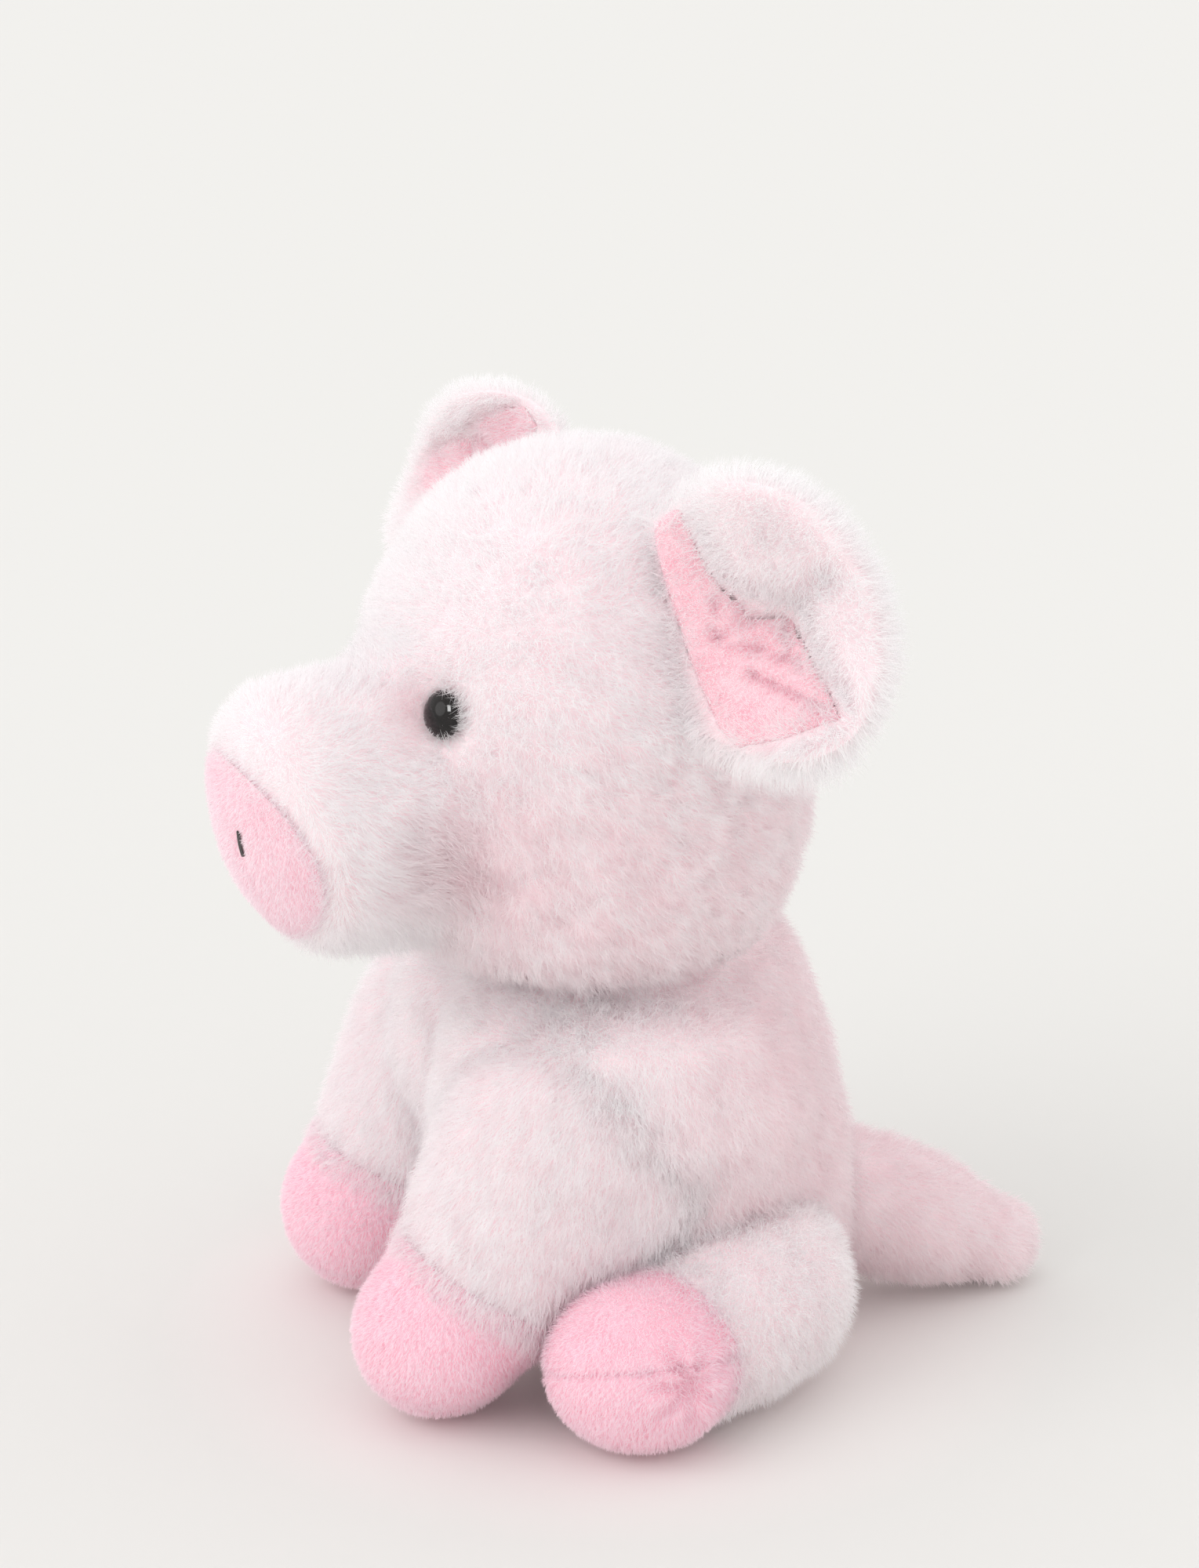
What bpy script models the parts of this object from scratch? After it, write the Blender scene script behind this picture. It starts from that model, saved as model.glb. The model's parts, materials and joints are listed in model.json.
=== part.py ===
"""Sitting plush pig: fur-fabric skins over stuffing, with sewn-in limbs, ears, eyes and a snout pad.

Metres, +Z up. The pig faces -Y and its left side is +X. The origin is the centre of the flat seat.
Each skin is a shell that is open at its seam, and the stuffing inside it stands clear by one gap.
"""

import math

import bmesh
import bpy
from mathutils import Matrix, Vector
from mathutils.bvhtree import BVHTree

# Fabric and clearances
skin = 0.0050
gap = 0.0003
overrun = 0.0040

# Torso
torso_half_width = 0.0465
torso_half_depth = 0.0470
neck_height = 0.0987
torso_lean = 0.0080
pellet_level = 0.0220

# Head, built facing -Y about the neck axis and then turned
head_turn_deg = 12.0
neck_forward = 0.0140
head_half_width = 0.0525
head_half_depth = 0.0505
head_face_forward = 0.0020
head_half_height = 0.0600
head_centre_height = 0.1530

# Muzzle and snout pad, from the head's centre
muzzle_reach = 0.0915
muzzle_half_width = 0.0285
muzzle_half_height = 0.0340
muzzle_drop = 0.0145
snout_half_width = 0.0245
snout_half_height = 0.0295
snout_drop = 0.0145
snout_round = 0.0165
snout_slant_deg = 13.0
pad_seam_depth = 0.0098
pad_seam_slant_deg = 26.0
nostril_spread = 0.0110
nostril_drop = 0.0150
nostril_length = 0.0062
nostril_width = 0.0012

# Eyes, from the head's centre
eye_spread = 0.0195
eye_rise = 0.0120
eye_turn_deg = 18.0
eye_tilt_deg = 10.0
eye_radius = 0.0058
eye_bulge = 0.0042
eye_rim = 0.0010
eye_sink = 0.0014
eye_stem_radius = 0.0016
eye_stem_length = 0.0110
eye_washer_radius = 0.0050
eye_washer_thickness = 0.0014
eye_washer_depth = 0.0065

# Ears, from the head's centre. The left one is held open and the right one is folded down
ear_base_out_left = 0.0425
ear_base_out_right = 0.0397
ear_base_up_left = 0.0325
ear_base_up_right = 0.0368
ear_base_back_left = 0.0002
ear_base_back_right = 0.0050
ear_base_tilt_deg = 33.0
ear_seat_depth = 0.0012
ear_width = 0.0625
ear_length_left = 0.0430
ear_length_right = 0.0360
ear_thickness = 0.0080
ear_lining_thickness = 0.0026
ear_rim = 0.0065
ear_cup_left = 0.0050
ear_cup_right = 0.0077
ear_tip_curl_left = 0.0079
ear_tip_curl_right = 0.0007
ear_droop_left = 0.0115
ear_droop_right = 0.0340
ear_sweep_left_deg = 47.0
ear_sweep_right_deg = -6.0
ear_lining_reach_left = 0.0290
ear_lining_reach_right = 0.0280
ear_lining_taper_left_share = 0.55
ear_lining_taper_right_share = 0.10
ear_swing_deg = 18.0

# Arms
shoulder_out = 0.0330
shoulder_forward = 0.0290
shoulder_height = 0.0630
shoulder_radius = 0.0322
shoulder_bulge = 0.0255
shoulder_seat_radius = 0.0400
arm_swing_deg = 45.0
hoof_out = 0.0370
hoof_forward = 0.0580
hoof_height = 0.0200
hoof_radius = 0.0205
wrist_above_hoof = 0.0040
hoof_sole_height = 0.0075

# Legs
hip_out = 0.0355
hip_back = 0.0120
hip_height = 0.0240
hip_radius = 0.0245
foot_out = 0.0590
foot_forward = 0.0170
foot_height = 0.0200
foot_radius = 0.0205
ankle_before_foot = 0.0085
ankle_pinch = 0.0014
foot_seam_height = 0.0190
leg_swing_deg = 18.0
hip_opening_radius = 0.0120
arm_opening_radius = 0.0120

# Tail
tail_root_back = 0.0460
tail_root_height = 0.0265
tail_root_radius = 0.0165
tail_tip_back = 0.0830
tail_tip_height = 0.0105
tail_tip_radius = 0.0112
tail_swing_deg = 25.0
tail_opening_radius = 0.0070

# Facets round each form
torso_sides = 28
head_sides = 28
head_rows = 12
limb_sides = 18
hollow_sides = 10
small_sides = 12
shaft_rows = 3
ear_sides = 16
ear_rows = 8
eye_sides = 16

# Height on the torso as a share of the neck height, with its width as a share of the widest
torso_profile_shares = (
    (0.00, 0.60), (0.05, 0.79), (0.14, 0.93), (0.30, 1.00), (0.48, 1.00),
    (0.66, 0.965), (0.82, 0.91), (0.94, 0.845), (1.02, 0.76),
)
# Place along the muzzle's shaft as a share, with how far it has drawn in from root to snout
muzzle_profile_shares = ((0.00, 0.00), (0.45, 0.10), (0.75, 0.45), (1.00, 0.80))
snout_turn_shares = (0.30, 0.56, 0.78, 0.93)
# Place along the ear as a share, with its width as a share of the widest
ear_outline_shares = (
    (0.00, 0.78), (0.20, 0.92), (0.42, 1.00), (0.64, 0.98), (0.82, 0.86), (0.93, 0.67), (1.00, 0.42),
)
lower_head_power = 3.2
upper_head_power = 2.1
ear_edge_power = 3.0

up = Vector((0.0, 0.0, 1.0))
outward = Vector((1.0, 0.0, 0.0))
backward = Vector((0.0, 1.0, 0.0))
head_centre = Vector((0.0, -neck_forward, head_centre_height))
shoulder = Vector((shoulder_out, -shoulder_forward, shoulder_height))
hoof = Vector((hoof_out, -hoof_forward, hoof_height))
hip = Vector((hip_out, hip_back, hip_height))
foot = Vector((foot_out, -foot_forward, foot_height))
tail_root = Vector((0.0, tail_root_back, tail_root_height))
tail_tip = Vector((0.0, tail_tip_back, tail_tip_height))
whole_reach = 2.0 * (head_centre_height + head_half_height)


def material(name, colour, roughness):
    made = bpy.data.materials.new(name)
    made.use_nodes = True
    shader = made.node_tree.nodes["Principled BSDF"]
    shader.inputs["Base Color"].default_value = (*colour, 1.0)
    shader.inputs["Roughness"].default_value = roughness
    shader.inputs["Metallic"].default_value = 0.0
    made.diffuse_color = (*colour, 1.0)
    return made


def object_from(name, build):
    bmesh.ops.recalc_face_normals(build, faces=build.faces)
    mesh = bpy.data.meshes.new(name)
    build.to_mesh(mesh)
    build.free()
    made = bpy.data.objects.new(name, mesh)
    bpy.context.collection.objects.link(made)
    return made


def loft(name, rings):
    """A closed solid through rings of points. A ring of one point is a pole."""
    build = bmesh.new()
    loops = [[build.verts.new(point) for point in ring] for ring in rings]
    for low, high in zip(loops, loops[1:]):
        for k in range(max(len(low), len(high))):
            corners = [low[k % len(low)], low[(k + 1) % len(low)]]
            corners += [high[(k + 1) % len(high)], high[k % len(high)]]
            build.faces.new(list(dict.fromkeys(corners)))
    for end in (loops[0], loops[-1]):
        if len(end) > 2:
            build.faces.new(end)
    return object_from(name, build)


def hull(name, points):
    """The convex solid round some points."""
    build = bmesh.new()
    for point in points:
        build.verts.new(point)
    bmesh.ops.convex_hull(build, input=build.verts)
    inside = [vert for vert in build.verts if not vert.link_faces]
    bmesh.ops.delete(build, geom=inside, context="VERTS")
    return object_from(name, build)


def ring_at(centre, side, rise, half_side, half_rise, count):
    turns = [2.0 * math.pi * k / count for k in range(count)]
    return [centre + side * (half_side * math.cos(t)) + rise * (half_rise * math.sin(t)) for t in turns]


def turned_solid(name, start, along, profile, count):
    """A round solid about a line, from (distance along it, radius) pairs. Zero radius is a pole."""
    side = along.orthogonal().normalized()
    rise = along.cross(side)
    rings = []
    for place, radius in profile:
        centre = start + along * place
        rings.append(ring_at(centre, side, rise, radius, radius, count) if radius else [centre])
    return loft(name, rings)


def bar(name, start, along, length, radius, count):
    return turned_solid(name, start, along, ((0.0, radius), (length, radius)), count)


def block_beyond(name, point, normal):
    """A block larger than the toy, with one face through a point and the rest beyond it."""
    side = normal.orthogonal().normalized() * whole_reach
    rise = normal.cross(side)
    corners = [
        point + side * a + rise * b + normal * (c * whole_reach)
        for a in (-1, 1) for b in (-1, 1) for c in (0, 1)
    ]
    return hull(name, corners)


def boolean(target, other, operation):
    """Cuts, joins or keeps the common part of two solids, then drops the second."""
    modifier = target.modifiers.new(operation, "BOOLEAN")
    modifier.operation = operation
    modifier.solver = "EXACT"
    modifier.object = other
    bpy.context.view_layer.update()
    graph = bpy.context.evaluated_depsgraph_get()
    result = bpy.data.meshes.new_from_object(target.evaluated_get(graph))
    target.modifiers.clear()
    target.data = result
    bpy.data.objects.remove(other)
    return target


def cut(target, *cutters):
    for cutter in cutters:
        boolean(target, cutter, "DIFFERENCE")
    return target


def keep_beyond(target, point, normal):
    return boolean(target, block_beyond("block", point, normal), "INTERSECT")


def copy_of(source, name):
    made = source.copy()
    made.data = source.data.copy()
    made.name = name
    bpy.context.collection.objects.link(made)
    return made


def moved(target, matrix):
    target.data.transform(matrix)
    if matrix.determinant() < 0.0:
        target.data.flip_normals()
    return target


def mirrored(source, name):
    return moved(copy_of(source, name), Matrix.Scale(-1.0, 4, outward))


def points_of(form, matrix):
    return [matrix @ vert.co for vert in form.data.vertices]


def turn_about(point, axis, degrees):
    turn = Matrix.Rotation(math.radians(degrees), 4, axis)
    return Matrix.Translation(point) @ turn @ Matrix.Translation(-point)


def swing_space(form, point, axis, degrees):
    """The convex space that a limb needs as it swings about its seam. It replaces the limb."""
    points = []
    for turn in degrees:
        points += points_of(form, turn_about(point, axis, turn))
    bpy.data.objects.remove(form)
    return hull("swing_space", points)


def profile_at(table, place):
    """A smooth curve through a table of (place, value) pairs."""
    last = len(table) - 2
    k = next((k for k in range(last) if place <= table[k + 1][0]), last)
    start, end = table[k], table[k + 1]
    before, after = table[max(k - 1, 0)], table[min(k + 2, len(table) - 1)]
    span = end[0] - start[0]
    t = (place - start[0]) / span
    slope_in = (end[1] - before[1]) / (end[0] - before[0]) * span
    slope_out = (after[1] - start[1]) / (after[0] - start[0]) * span
    held = (2 * t**3 - 3 * t**2 + 1) * start[1] + (3 * t**2 - 2 * t**3) * end[1]
    return held + (t**3 - 2 * t**2 + t) * slope_in + (t**3 - t**2) * slope_out


def socket_slack(radius, sides):
    """How much wider a faceted socket is than the faceted ball that turns in it."""
    return gap + radius * (1.0 / math.cos(math.pi / sides) ** 2 - 1.0)


def torso_form(name, inset, sides):
    """The pear-shaped torso, drawn in by an inset. Its top runs on past the neck."""
    rings = []
    for height_share, width_share in torso_profile_shares:
        height = max(height_share * neck_height, inset)
        if rings and height <= rings[-1][0].z:
            continue
        centre = Vector((0.0, -torso_lean * height_share**2, height))
        half_width = torso_half_width * width_share - inset
        half_depth = torso_half_depth * width_share - inset
        rings.append(ring_at(centre, outward, backward, half_width, half_depth, sides))
    return loft(name, rings)


def head_egg(name, inset, sides, rows):
    """The head without its muzzle: full cheeks low down and a rounder crown."""
    rings = [[head_centre - up * (head_half_height - inset)]]
    for row in range(1, rows):
        turn = math.pi * (row / rows - 0.5)
        power = lower_head_power if turn < 0.0 else upper_head_power
        height = math.copysign(abs(math.sin(turn)) ** (2.0 / power), turn)
        width = math.cos(turn) ** (2.0 / power)
        centre = head_centre + up * (height * (head_half_height - inset)) - backward * head_face_forward
        half_width = width * (head_half_width - inset)
        half_depth = width * (head_half_depth - inset)
        rings.append(ring_at(centre, outward, backward, half_width, half_depth, sides))
    rings.append([head_centre + up * (head_half_height - inset)])
    return loft(name, rings)


def muzzle_form(name, inset, sides):
    """The muzzle draws in as it runs forward from inside the head, and closes in a round snout."""
    shaft = muzzle_reach - snout_round
    stations = [(shaft * place, drawn, 1.0) for place, drawn in muzzle_profile_shares]
    drawn_last = muzzle_profile_shares[-1][1]
    for turn_share in snout_turn_shares:
        turn = turn_share * math.pi / 2.0
        drawn = drawn_last + (1.0 - drawn_last) * turn_share
        stations.append((shaft + (snout_round - inset) * math.sin(turn), drawn, math.cos(turn)))
    slope = math.tan(math.radians(snout_slant_deg))
    rings = []
    for forward, drawn, closing in stations:
        half_width = muzzle_half_width + (snout_half_width - muzzle_half_width) * drawn - inset
        half_height = muzzle_half_height + (snout_half_height - muzzle_half_height) * drawn - inset
        drop = muzzle_drop + (snout_drop - muzzle_drop) * drawn
        centre = head_centre - backward * forward - up * drop
        leaning = up - backward * (slope * min(forward / shaft, 1.0))
        rings.append(ring_at(centre, outward, leaning, half_width * closing, half_height * closing, sides))
    rings.append([head_centre - backward * (muzzle_reach - inset) - up * snout_drop])
    return loft(name, rings)


def head_form(name, inset, sides, rows):
    return boolean(head_egg(name, inset, sides, rows), muzzle_form("muzzle", inset, sides - 4), "UNION")


def limb_form(name, root, tip, root_sizes, tip_size, sides, across=outward, pinch=None):
    """A tapering limb with round ends. Its root sizes are half widths: across, then square to that."""
    along = (tip - root).normalized()
    side = (across - along * across.dot(along)).normalized()
    rise = along.cross(side)
    cap_rows = sides // 4
    root_side, root_rise = root_sizes
    length = (tip - root).length
    rings = [[root - along * root_rise]]
    for row in range(1, cap_rows):
        turn = math.pi / 2.0 * row / cap_rows
        centre = root - along * (root_rise * math.cos(turn))
        closing = math.sin(turn)
        rings.append(ring_at(centre, side, rise, root_side * closing, root_rise * closing, sides))
    for row in range(shaft_rows + 1):
        share = row / shaft_rows
        eased = share * share * (3.0 - 2.0 * share)
        drawn = 0.0
        if pinch:
            depth, before_tip = pinch
            drawn = depth * math.exp(-(((1.0 - share) * length - before_tip) / before_tip) ** 2)
        half_side = root_side + (tip_size - root_side) * eased - drawn
        half_rise = root_rise + (tip_size - root_rise) * eased - drawn
        rings.append(ring_at(root + along * (share * length), side, rise, half_side, half_rise, sides))
    for row in range(1, cap_rows):
        turn = math.pi / 2.0 * row / cap_rows
        closing = tip_size * math.cos(turn)
        rings.append(ring_at(tip + along * (tip_size * math.sin(turn)), side, rise, closing, closing, sides))
    rings.append([tip + along * tip_size])
    return loft(name, rings)


def arm_form(name, grow, sides):
    sizes = (shoulder_bulge + grow, shoulder_radius + grow)
    return limb_form(name, shoulder, hoof, sizes, hoof_radius + grow, sides)


def leg_form(name, grow, sides):
    sizes = (hip_radius + grow, hip_radius + grow)
    across = up.cross(foot - hip)
    pinch = (ankle_pinch, ankle_before_foot)
    return limb_form(name, hip, foot, sizes, foot_radius + grow, sides, across, pinch)


def tail_form(name, grow, sides):
    sizes = (tail_root_radius + grow, tail_root_radius + grow)
    return limb_form(name, tail_root, tail_tip, sizes, tail_tip_radius + grow, sides)


def arm_seat_bar(grow):
    """Holds the upper arm outside its flat seat on the torso."""
    start = Vector((-shoulder_out, shoulder.y, shoulder.z))
    length = 2.0 * shoulder_out + gap + grow
    return bar("arm_seat", start, outward, length, shoulder_seat_radius + grow, limb_sides)


def arm_space(grow, sides):
    """The recess in the torso's side that an arm swings in. Its floor is flat."""
    form = arm_form("arm_space", socket_slack(shoulder_radius, sides) + grow, sides)
    space = swing_space(form, shoulder, -outward, (0.0, arm_swing_deg / 2.0, arm_swing_deg))
    return keep_beyond(space, shoulder - outward * grow, outward)


def leg_space(grow, sides):
    form = leg_form("leg_space", socket_slack(hip_radius, sides) + grow, sides)
    return swing_space(form, hip, up, (0.0, leg_swing_deg / 2.0, leg_swing_deg))


def tail_space(grow, sides):
    form = tail_form("tail_space", socket_slack(tail_root_radius, sides) + grow, sides)
    return swing_space(form, tail_root, up, (-tail_swing_deg, 0.0, tail_swing_deg))


def carved_torso(name, inset, sides, space_sides):
    """The torso drawn in by an inset, with the limbs' spaces let in deeper by as much."""
    form = torso_form(name, inset, sides)
    for make in (arm_space, leg_space):
        left = make(inset, space_sides)
        right = mirrored(left, "right_space")
        cut(form, left, right)
    return cut(form, tail_space(inset, space_sides))


def floor_block():
    return block_beyond("floor", Vector((0.0, 0.0, 0.0)), -up)


def finish(target, name, look, pivot=None):
    target.name = name
    target.data.name = name
    target.data.materials.clear()
    target.data.materials.append(look)
    target.data.shade_smooth()
    target.data.set_sharp_from_angle(angle=math.radians(40.0))
    if pivot:
        target.data.transform(Matrix.Translation(-pivot))
        target.location = pivot
    return target


def finish_pair(target, name, look, pivot):
    """The left piece and its mirror image on the right. {} in the name takes the side."""
    right = mirrored(target, name.format("right"))
    finish(target, name.format("left"), look, pivot)
    finish(right, name.format("right"), look, Vector((-pivot.x, pivot.y, pivot.z)))


def build_torso(fur, fibre, pouch_cloth):
    neck = Vector((0.0, 0.0, neck_height))
    shell = carved_torso("body_fur", 0.0, torso_sides, limb_sides)
    cut(shell, carved_torso("hollow", skin, limb_sides, hollow_sides))
    keep_beyond(shell, neck, -up)
    finish(shell, "body_fur", fur)
    core = carved_torso("body_stuffing", skin + 2.0 * gap, limb_sides, hollow_sides)
    keep_beyond(core, neck, -up)
    pouch = copy_of(core, "pellet_pouch")
    keep_beyond(pouch, up * pellet_level, -up)
    keep_beyond(core, up * (pellet_level + gap), up)
    finish(core, "body_stuffing", fibre)
    finish(pouch, "pellet_pouch", pouch_cloth)


def split_limb(outer, hollow, seam, along, sole_height):
    """A limb's skin in three panels: fur above the seam, then the pink end and its sole."""
    shell = cut(outer, hollow)
    end = copy_of(shell, "end")
    keep_beyond(shell, seam, -along)
    keep_beyond(end, seam + along * gap, along)
    sole = copy_of(end, "sole")
    keep_beyond(sole, up * sole_height, -up)
    keep_beyond(end, up * (sole_height + gap), up)
    return shell, end, sole


def arm_trimmed(form, grow, slack):
    """An arm held clear of its seat, the torso, the leg behind it and the floor."""
    torso = torso_form("torso_block", -slack - grow, torso_sides)
    cut(torso, arm_space(-grow, limb_sides))
    leg = leg_form("leg_block", slack + grow, limb_sides)
    leg_path = swing_space(leg, shoulder, outward, (0.0, arm_swing_deg / 2.0, arm_swing_deg))
    return cut(form, arm_seat_bar(grow), torso, leg_path, floor_block())


def build_arms(fur, pink, fibre):
    along = (hoof - shoulder).normalized()
    slack = 2.0 * gap
    outer = arm_trimmed(arm_form("arm", 0.0, limb_sides), 0.0, slack)
    hollow = arm_trimmed(arm_form("arm_hollow", -skin, hollow_sides), skin, slack)
    opening = bar("arm_opening", shoulder, outward, 2.0 * skin, arm_opening_radius, hollow_sides)
    cut(outer, opening)
    shell, end, sole = split_limb(outer, hollow, hoof - along * wrist_above_hoof, along, hoof_sole_height)
    inner = skin + 2.0 * gap
    core = arm_trimmed(arm_form("arm_core", -inner, hollow_sides), inner, slack)
    finish_pair(shell, "arm_{}_fur", fur, shoulder)
    finish_pair(end, "arm_{}_hoof", pink, shoulder)
    finish_pair(sole, "arm_{}_sole", pink, shoulder)
    finish_pair(core, "arm_{}_stuffing", fibre, shoulder)


def build_legs(fur, pink, fibre):
    along = (foot - hip).normalized()
    outer = cut(leg_form("leg", 0.0, limb_sides), floor_block())
    hollow = leg_form("leg_hollow", -skin, hollow_sides)
    opening_start = hip - along * (hip_radius + overrun)
    cut(outer, bar("hip_opening", opening_start, along, hip_radius, hip_opening_radius, hollow_sides))
    shell, end, sole = split_limb(outer, hollow, foot - along * ankle_before_foot, along, foot_seam_height)
    core = leg_form("leg_core", -skin - 2.0 * gap, hollow_sides)
    finish_pair(shell, "leg_{}_fur", fur, hip)
    finish_pair(end, "leg_{}_foot", pink, hip)
    finish_pair(sole, "leg_{}_sole", pink, hip)
    finish_pair(core, "leg_{}_stuffing", fibre, hip)


def build_tail(fur, fibre):
    along = (tail_tip - tail_root).normalized()
    shell = cut(tail_form("tail_fur", 0.0, limb_sides), tail_form("tail_hollow", -skin, hollow_sides))
    opening_start = tail_root - along * (tail_root_radius + overrun)
    cut(shell, bar("tail_opening", opening_start, along, tail_root_radius, tail_opening_radius, small_sides))
    cut(shell, floor_block())
    core = tail_form("tail_stuffing", -skin - 2.0 * gap, hollow_sides)
    finish(shell, "tail_fur", fur, tail_root)
    finish(core, "tail_stuffing", fibre, tail_root)


def surface_point(form, start, direction):
    """Where a straight line from outside or inside first meets a solid."""
    tree = BVHTree.FromPolygons(
        [vert.co for vert in form.data.vertices], [list(face.vertices) for face in form.data.polygons]
    )
    return tree.ray_cast(start, direction)[0]


def eye_frame():
    """The place of an eye on the left of the head, and the way that it looks."""
    turn, tilt = math.radians(eye_turn_deg), math.radians(eye_tilt_deg)
    look = Vector((math.sin(turn) * math.cos(tilt), -math.cos(turn) * math.cos(tilt), math.sin(tilt)))
    egg = head_egg("egg", 0.0, head_sides, head_rows)
    start = head_centre + outward * eye_spread + up * eye_rise - backward * whole_reach
    place = surface_point(egg, start, backward)
    bpy.data.objects.remove(egg)
    return place - look * eye_sink, look


def eye_solid(place, look):
    profile = [(-eye_stem_length, 0.0), (-eye_stem_length, eye_stem_radius), (0.0, eye_stem_radius)]
    profile += [(0.0, eye_radius - eye_rim / 2.0), (eye_rim / 2.0, eye_radius), (eye_rim, eye_radius)]
    for row in range(1, eye_sides // 4):
        turn = 2.0 * math.pi * row / eye_sides
        profile.append((eye_rim + (eye_bulge - eye_rim) * math.sin(turn), eye_radius * math.cos(turn)))
    profile.append((eye_bulge, 0.0))
    return turned_solid("eye", place, look, profile, eye_sides)


def eye_washer(place, look):
    start = place - look * (eye_washer_depth + eye_washer_thickness)
    ring = bar("washer", start, look, eye_washer_thickness, eye_washer_radius, eye_sides)
    bore = bar("bore", start - look * overrun, look, 3.0 * overrun, eye_stem_radius + gap, small_sides)
    return cut(ring, bore)


def eye_hollows(place, look):
    """Cutters for the skin, which holds the eye and passes its stem, and for the stuffing."""
    seat = bar("eye_seat", place - look * gap, look, eye_bulge + skin, eye_radius + 2.0 * gap, eye_sides)
    stem_room = eye_stem_radius + gap
    stem = bar("stem_hole", place - look * whole_reach / 8.0, look, whole_reach / 8.0, stem_room, small_sides)
    deep = eye_stem_length + gap
    washer_room = eye_washer_radius + 2.0 * gap
    room = bar("washer_room", place - look * deep, look, deep + overrun, washer_room, eye_sides)
    return seat, stem, room


def ear_frame(base, sweep_deg, fold):
    """The ear's hinge line on the left of the head: a point, along it, out from it, its front, its fold."""
    tilt, sweep = math.radians(ear_base_tilt_deg), math.radians(sweep_deg)
    along = Vector((-math.sin(tilt), 0.0, math.cos(tilt)))
    level = Vector((math.cos(tilt), 0.0, math.sin(tilt)))
    out = level * math.cos(sweep) + backward * math.sin(sweep)
    front = level * math.sin(sweep) - backward * math.cos(sweep)
    base_out, base_up, base_back = base
    egg = head_egg("egg", 0.0, head_sides, head_rows)
    start = head_centre + backward * base_back
    toward = (outward * base_out + up * base_up).normalized()
    place = surface_point(egg, start, toward) - toward * ear_seat_depth
    bpy.data.objects.remove(egg)
    return place, along, out, front, fold


def ear_half_width(out_share):
    return ear_width / 2.0 * profile_at(ear_outline_shares, min(max(out_share, 0.0), 1.0))


def ear_point(frame, across, distance, height):
    """A point of the ear, which is cupped to the front, curls at its tip and hangs down outwards."""
    place, along, out, front, (length, cup, tip_curl, droop) = frame
    out_share = max(distance, 0.0) / length
    across_share = 2.0 * across / ear_width
    cupped = cup * across_share**2 * min(2.0 * out_share, 1.0) + tip_curl * out_share**2
    hanging = droop * out_share**1.5
    return place + along * (across - hanging) + out * distance + front * (cupped + height)


def rounded(turn):
    """One coordinate of a ring with flat sides and round corners."""
    return math.copysign(abs(turn) ** (2.0 / ear_edge_power), turn)


def ear_solid(name, frame):
    """The furry ply: a leaf whose straight root is round about the hinge line."""
    half = ear_thickness / 2.0
    length = frame[4][0]
    root_rows, tip_rows = ear_sides // 4, ear_sides // 4
    stations = []
    for row in range(1, root_rows):
        turn = math.pi / 2.0 * row / root_rows
        stations.append((-half * math.cos(turn), 0.0, half * math.sin(turn), 1.0))
    for row in range(ear_rows):
        share = row / (ear_rows - 1)
        stations.append((length * share, share, half, 1.0))
    for row in range(1, tip_rows):
        turn = math.pi / 2.0 * row / tip_rows
        stations.append((length + half * math.sin(turn), 1.0, half * math.cos(turn), math.cos(turn)))
    rings = [[ear_point(frame, 0.0, -half, 0.0)]]
    for distance, share, thick, closing in stations:
        half_width = ear_half_width(share) * closing
        turns = [2.0 * math.pi * k / ear_sides for k in range(ear_sides)]
        rings.append([
            ear_point(frame, rounded(math.cos(t)) * half_width, distance, rounded(math.sin(t)) * thick)
            for t in turns
        ])
    rings.append([ear_point(frame, 0.0, length + half, 0.0)])
    return loft(name, rings)


def ear_lining(name, frame, shape, grow, proud):
    """The pink ply, let into the ear's front inside its furry rim and drawn in at its upper edge."""
    reach, taper = shape
    top = ear_thickness / 2.0 + proud
    bottom = ear_thickness / 2.0 - ear_lining_thickness - grow
    first, last = ear_thickness / 2.0 - grow, reach + grow
    half_count = ear_sides // 2
    rings = []
    for row in range(ear_rows):
        share = row / (ear_rows - 1)
        distance = first + (last - first) * share
        half_width = ear_half_width(distance / frame[4][0]) - ear_rim + grow
        width = 2.0 * half_width * (1.0 - taper * share)
        acrosses = [width * (1.0 - k / (half_count - 1)) - half_width for k in range(half_count)]
        ring = [ear_point(frame, across, distance, top) for across in acrosses]
        ring += [ear_point(frame, across, distance, bottom) for across in reversed(acrosses)]
        rings.append(ring)
    return loft(name, rings)


def ear_groove(frame):
    """The slot in the head that an ear's root turns in, opened to both ends of its swing."""
    place, along, out, front, _ = frame
    radius = (ear_thickness / 2.0 + gap) / math.cos(math.pi / limb_sides)
    half_length = ear_half_width(0.0) + gap
    reach = skin + ear_thickness
    points = []
    for end in (-half_length, half_length):
        centre = place + along * end
        points += ring_at(centre, out, front, radius, radius, limb_sides)
        for swing in (-ear_swing_deg, ear_swing_deg):
            turn = Matrix.Rotation(math.radians(swing), 3, along)
            for side in (-radius, radius):
                points.append(centre + turn @ (out * reach + front * side))
    return hull("ear_groove", points)


def nostril_bar(name, snout, place, grow):
    """A short upright stitch, half sunk in the snout pad. The pad's slot is wider by the gap."""
    start = head_centre + outward * place - up * snout_drop - backward * whole_reach
    top = surface_point(snout, start + up * (snout_drop - nostril_drop + nostril_length / 2.0), backward)
    low = surface_point(snout, start + up * (snout_drop - nostril_drop - nostril_length / 2.0), backward)
    radius = nostril_width / 2.0 + grow
    along = (top - low).normalized()
    length = (top - low).length
    profile = [(-radius, 0.0), (-radius / 2.0, radius * math.sqrt(0.75)), (0.0, radius), (length, radius)]
    profile += [(length + radius / 2.0, radius * math.sqrt(0.75)), (length + radius, 0.0)]
    return turned_solid(name, low, along, profile, small_sides)


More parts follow.
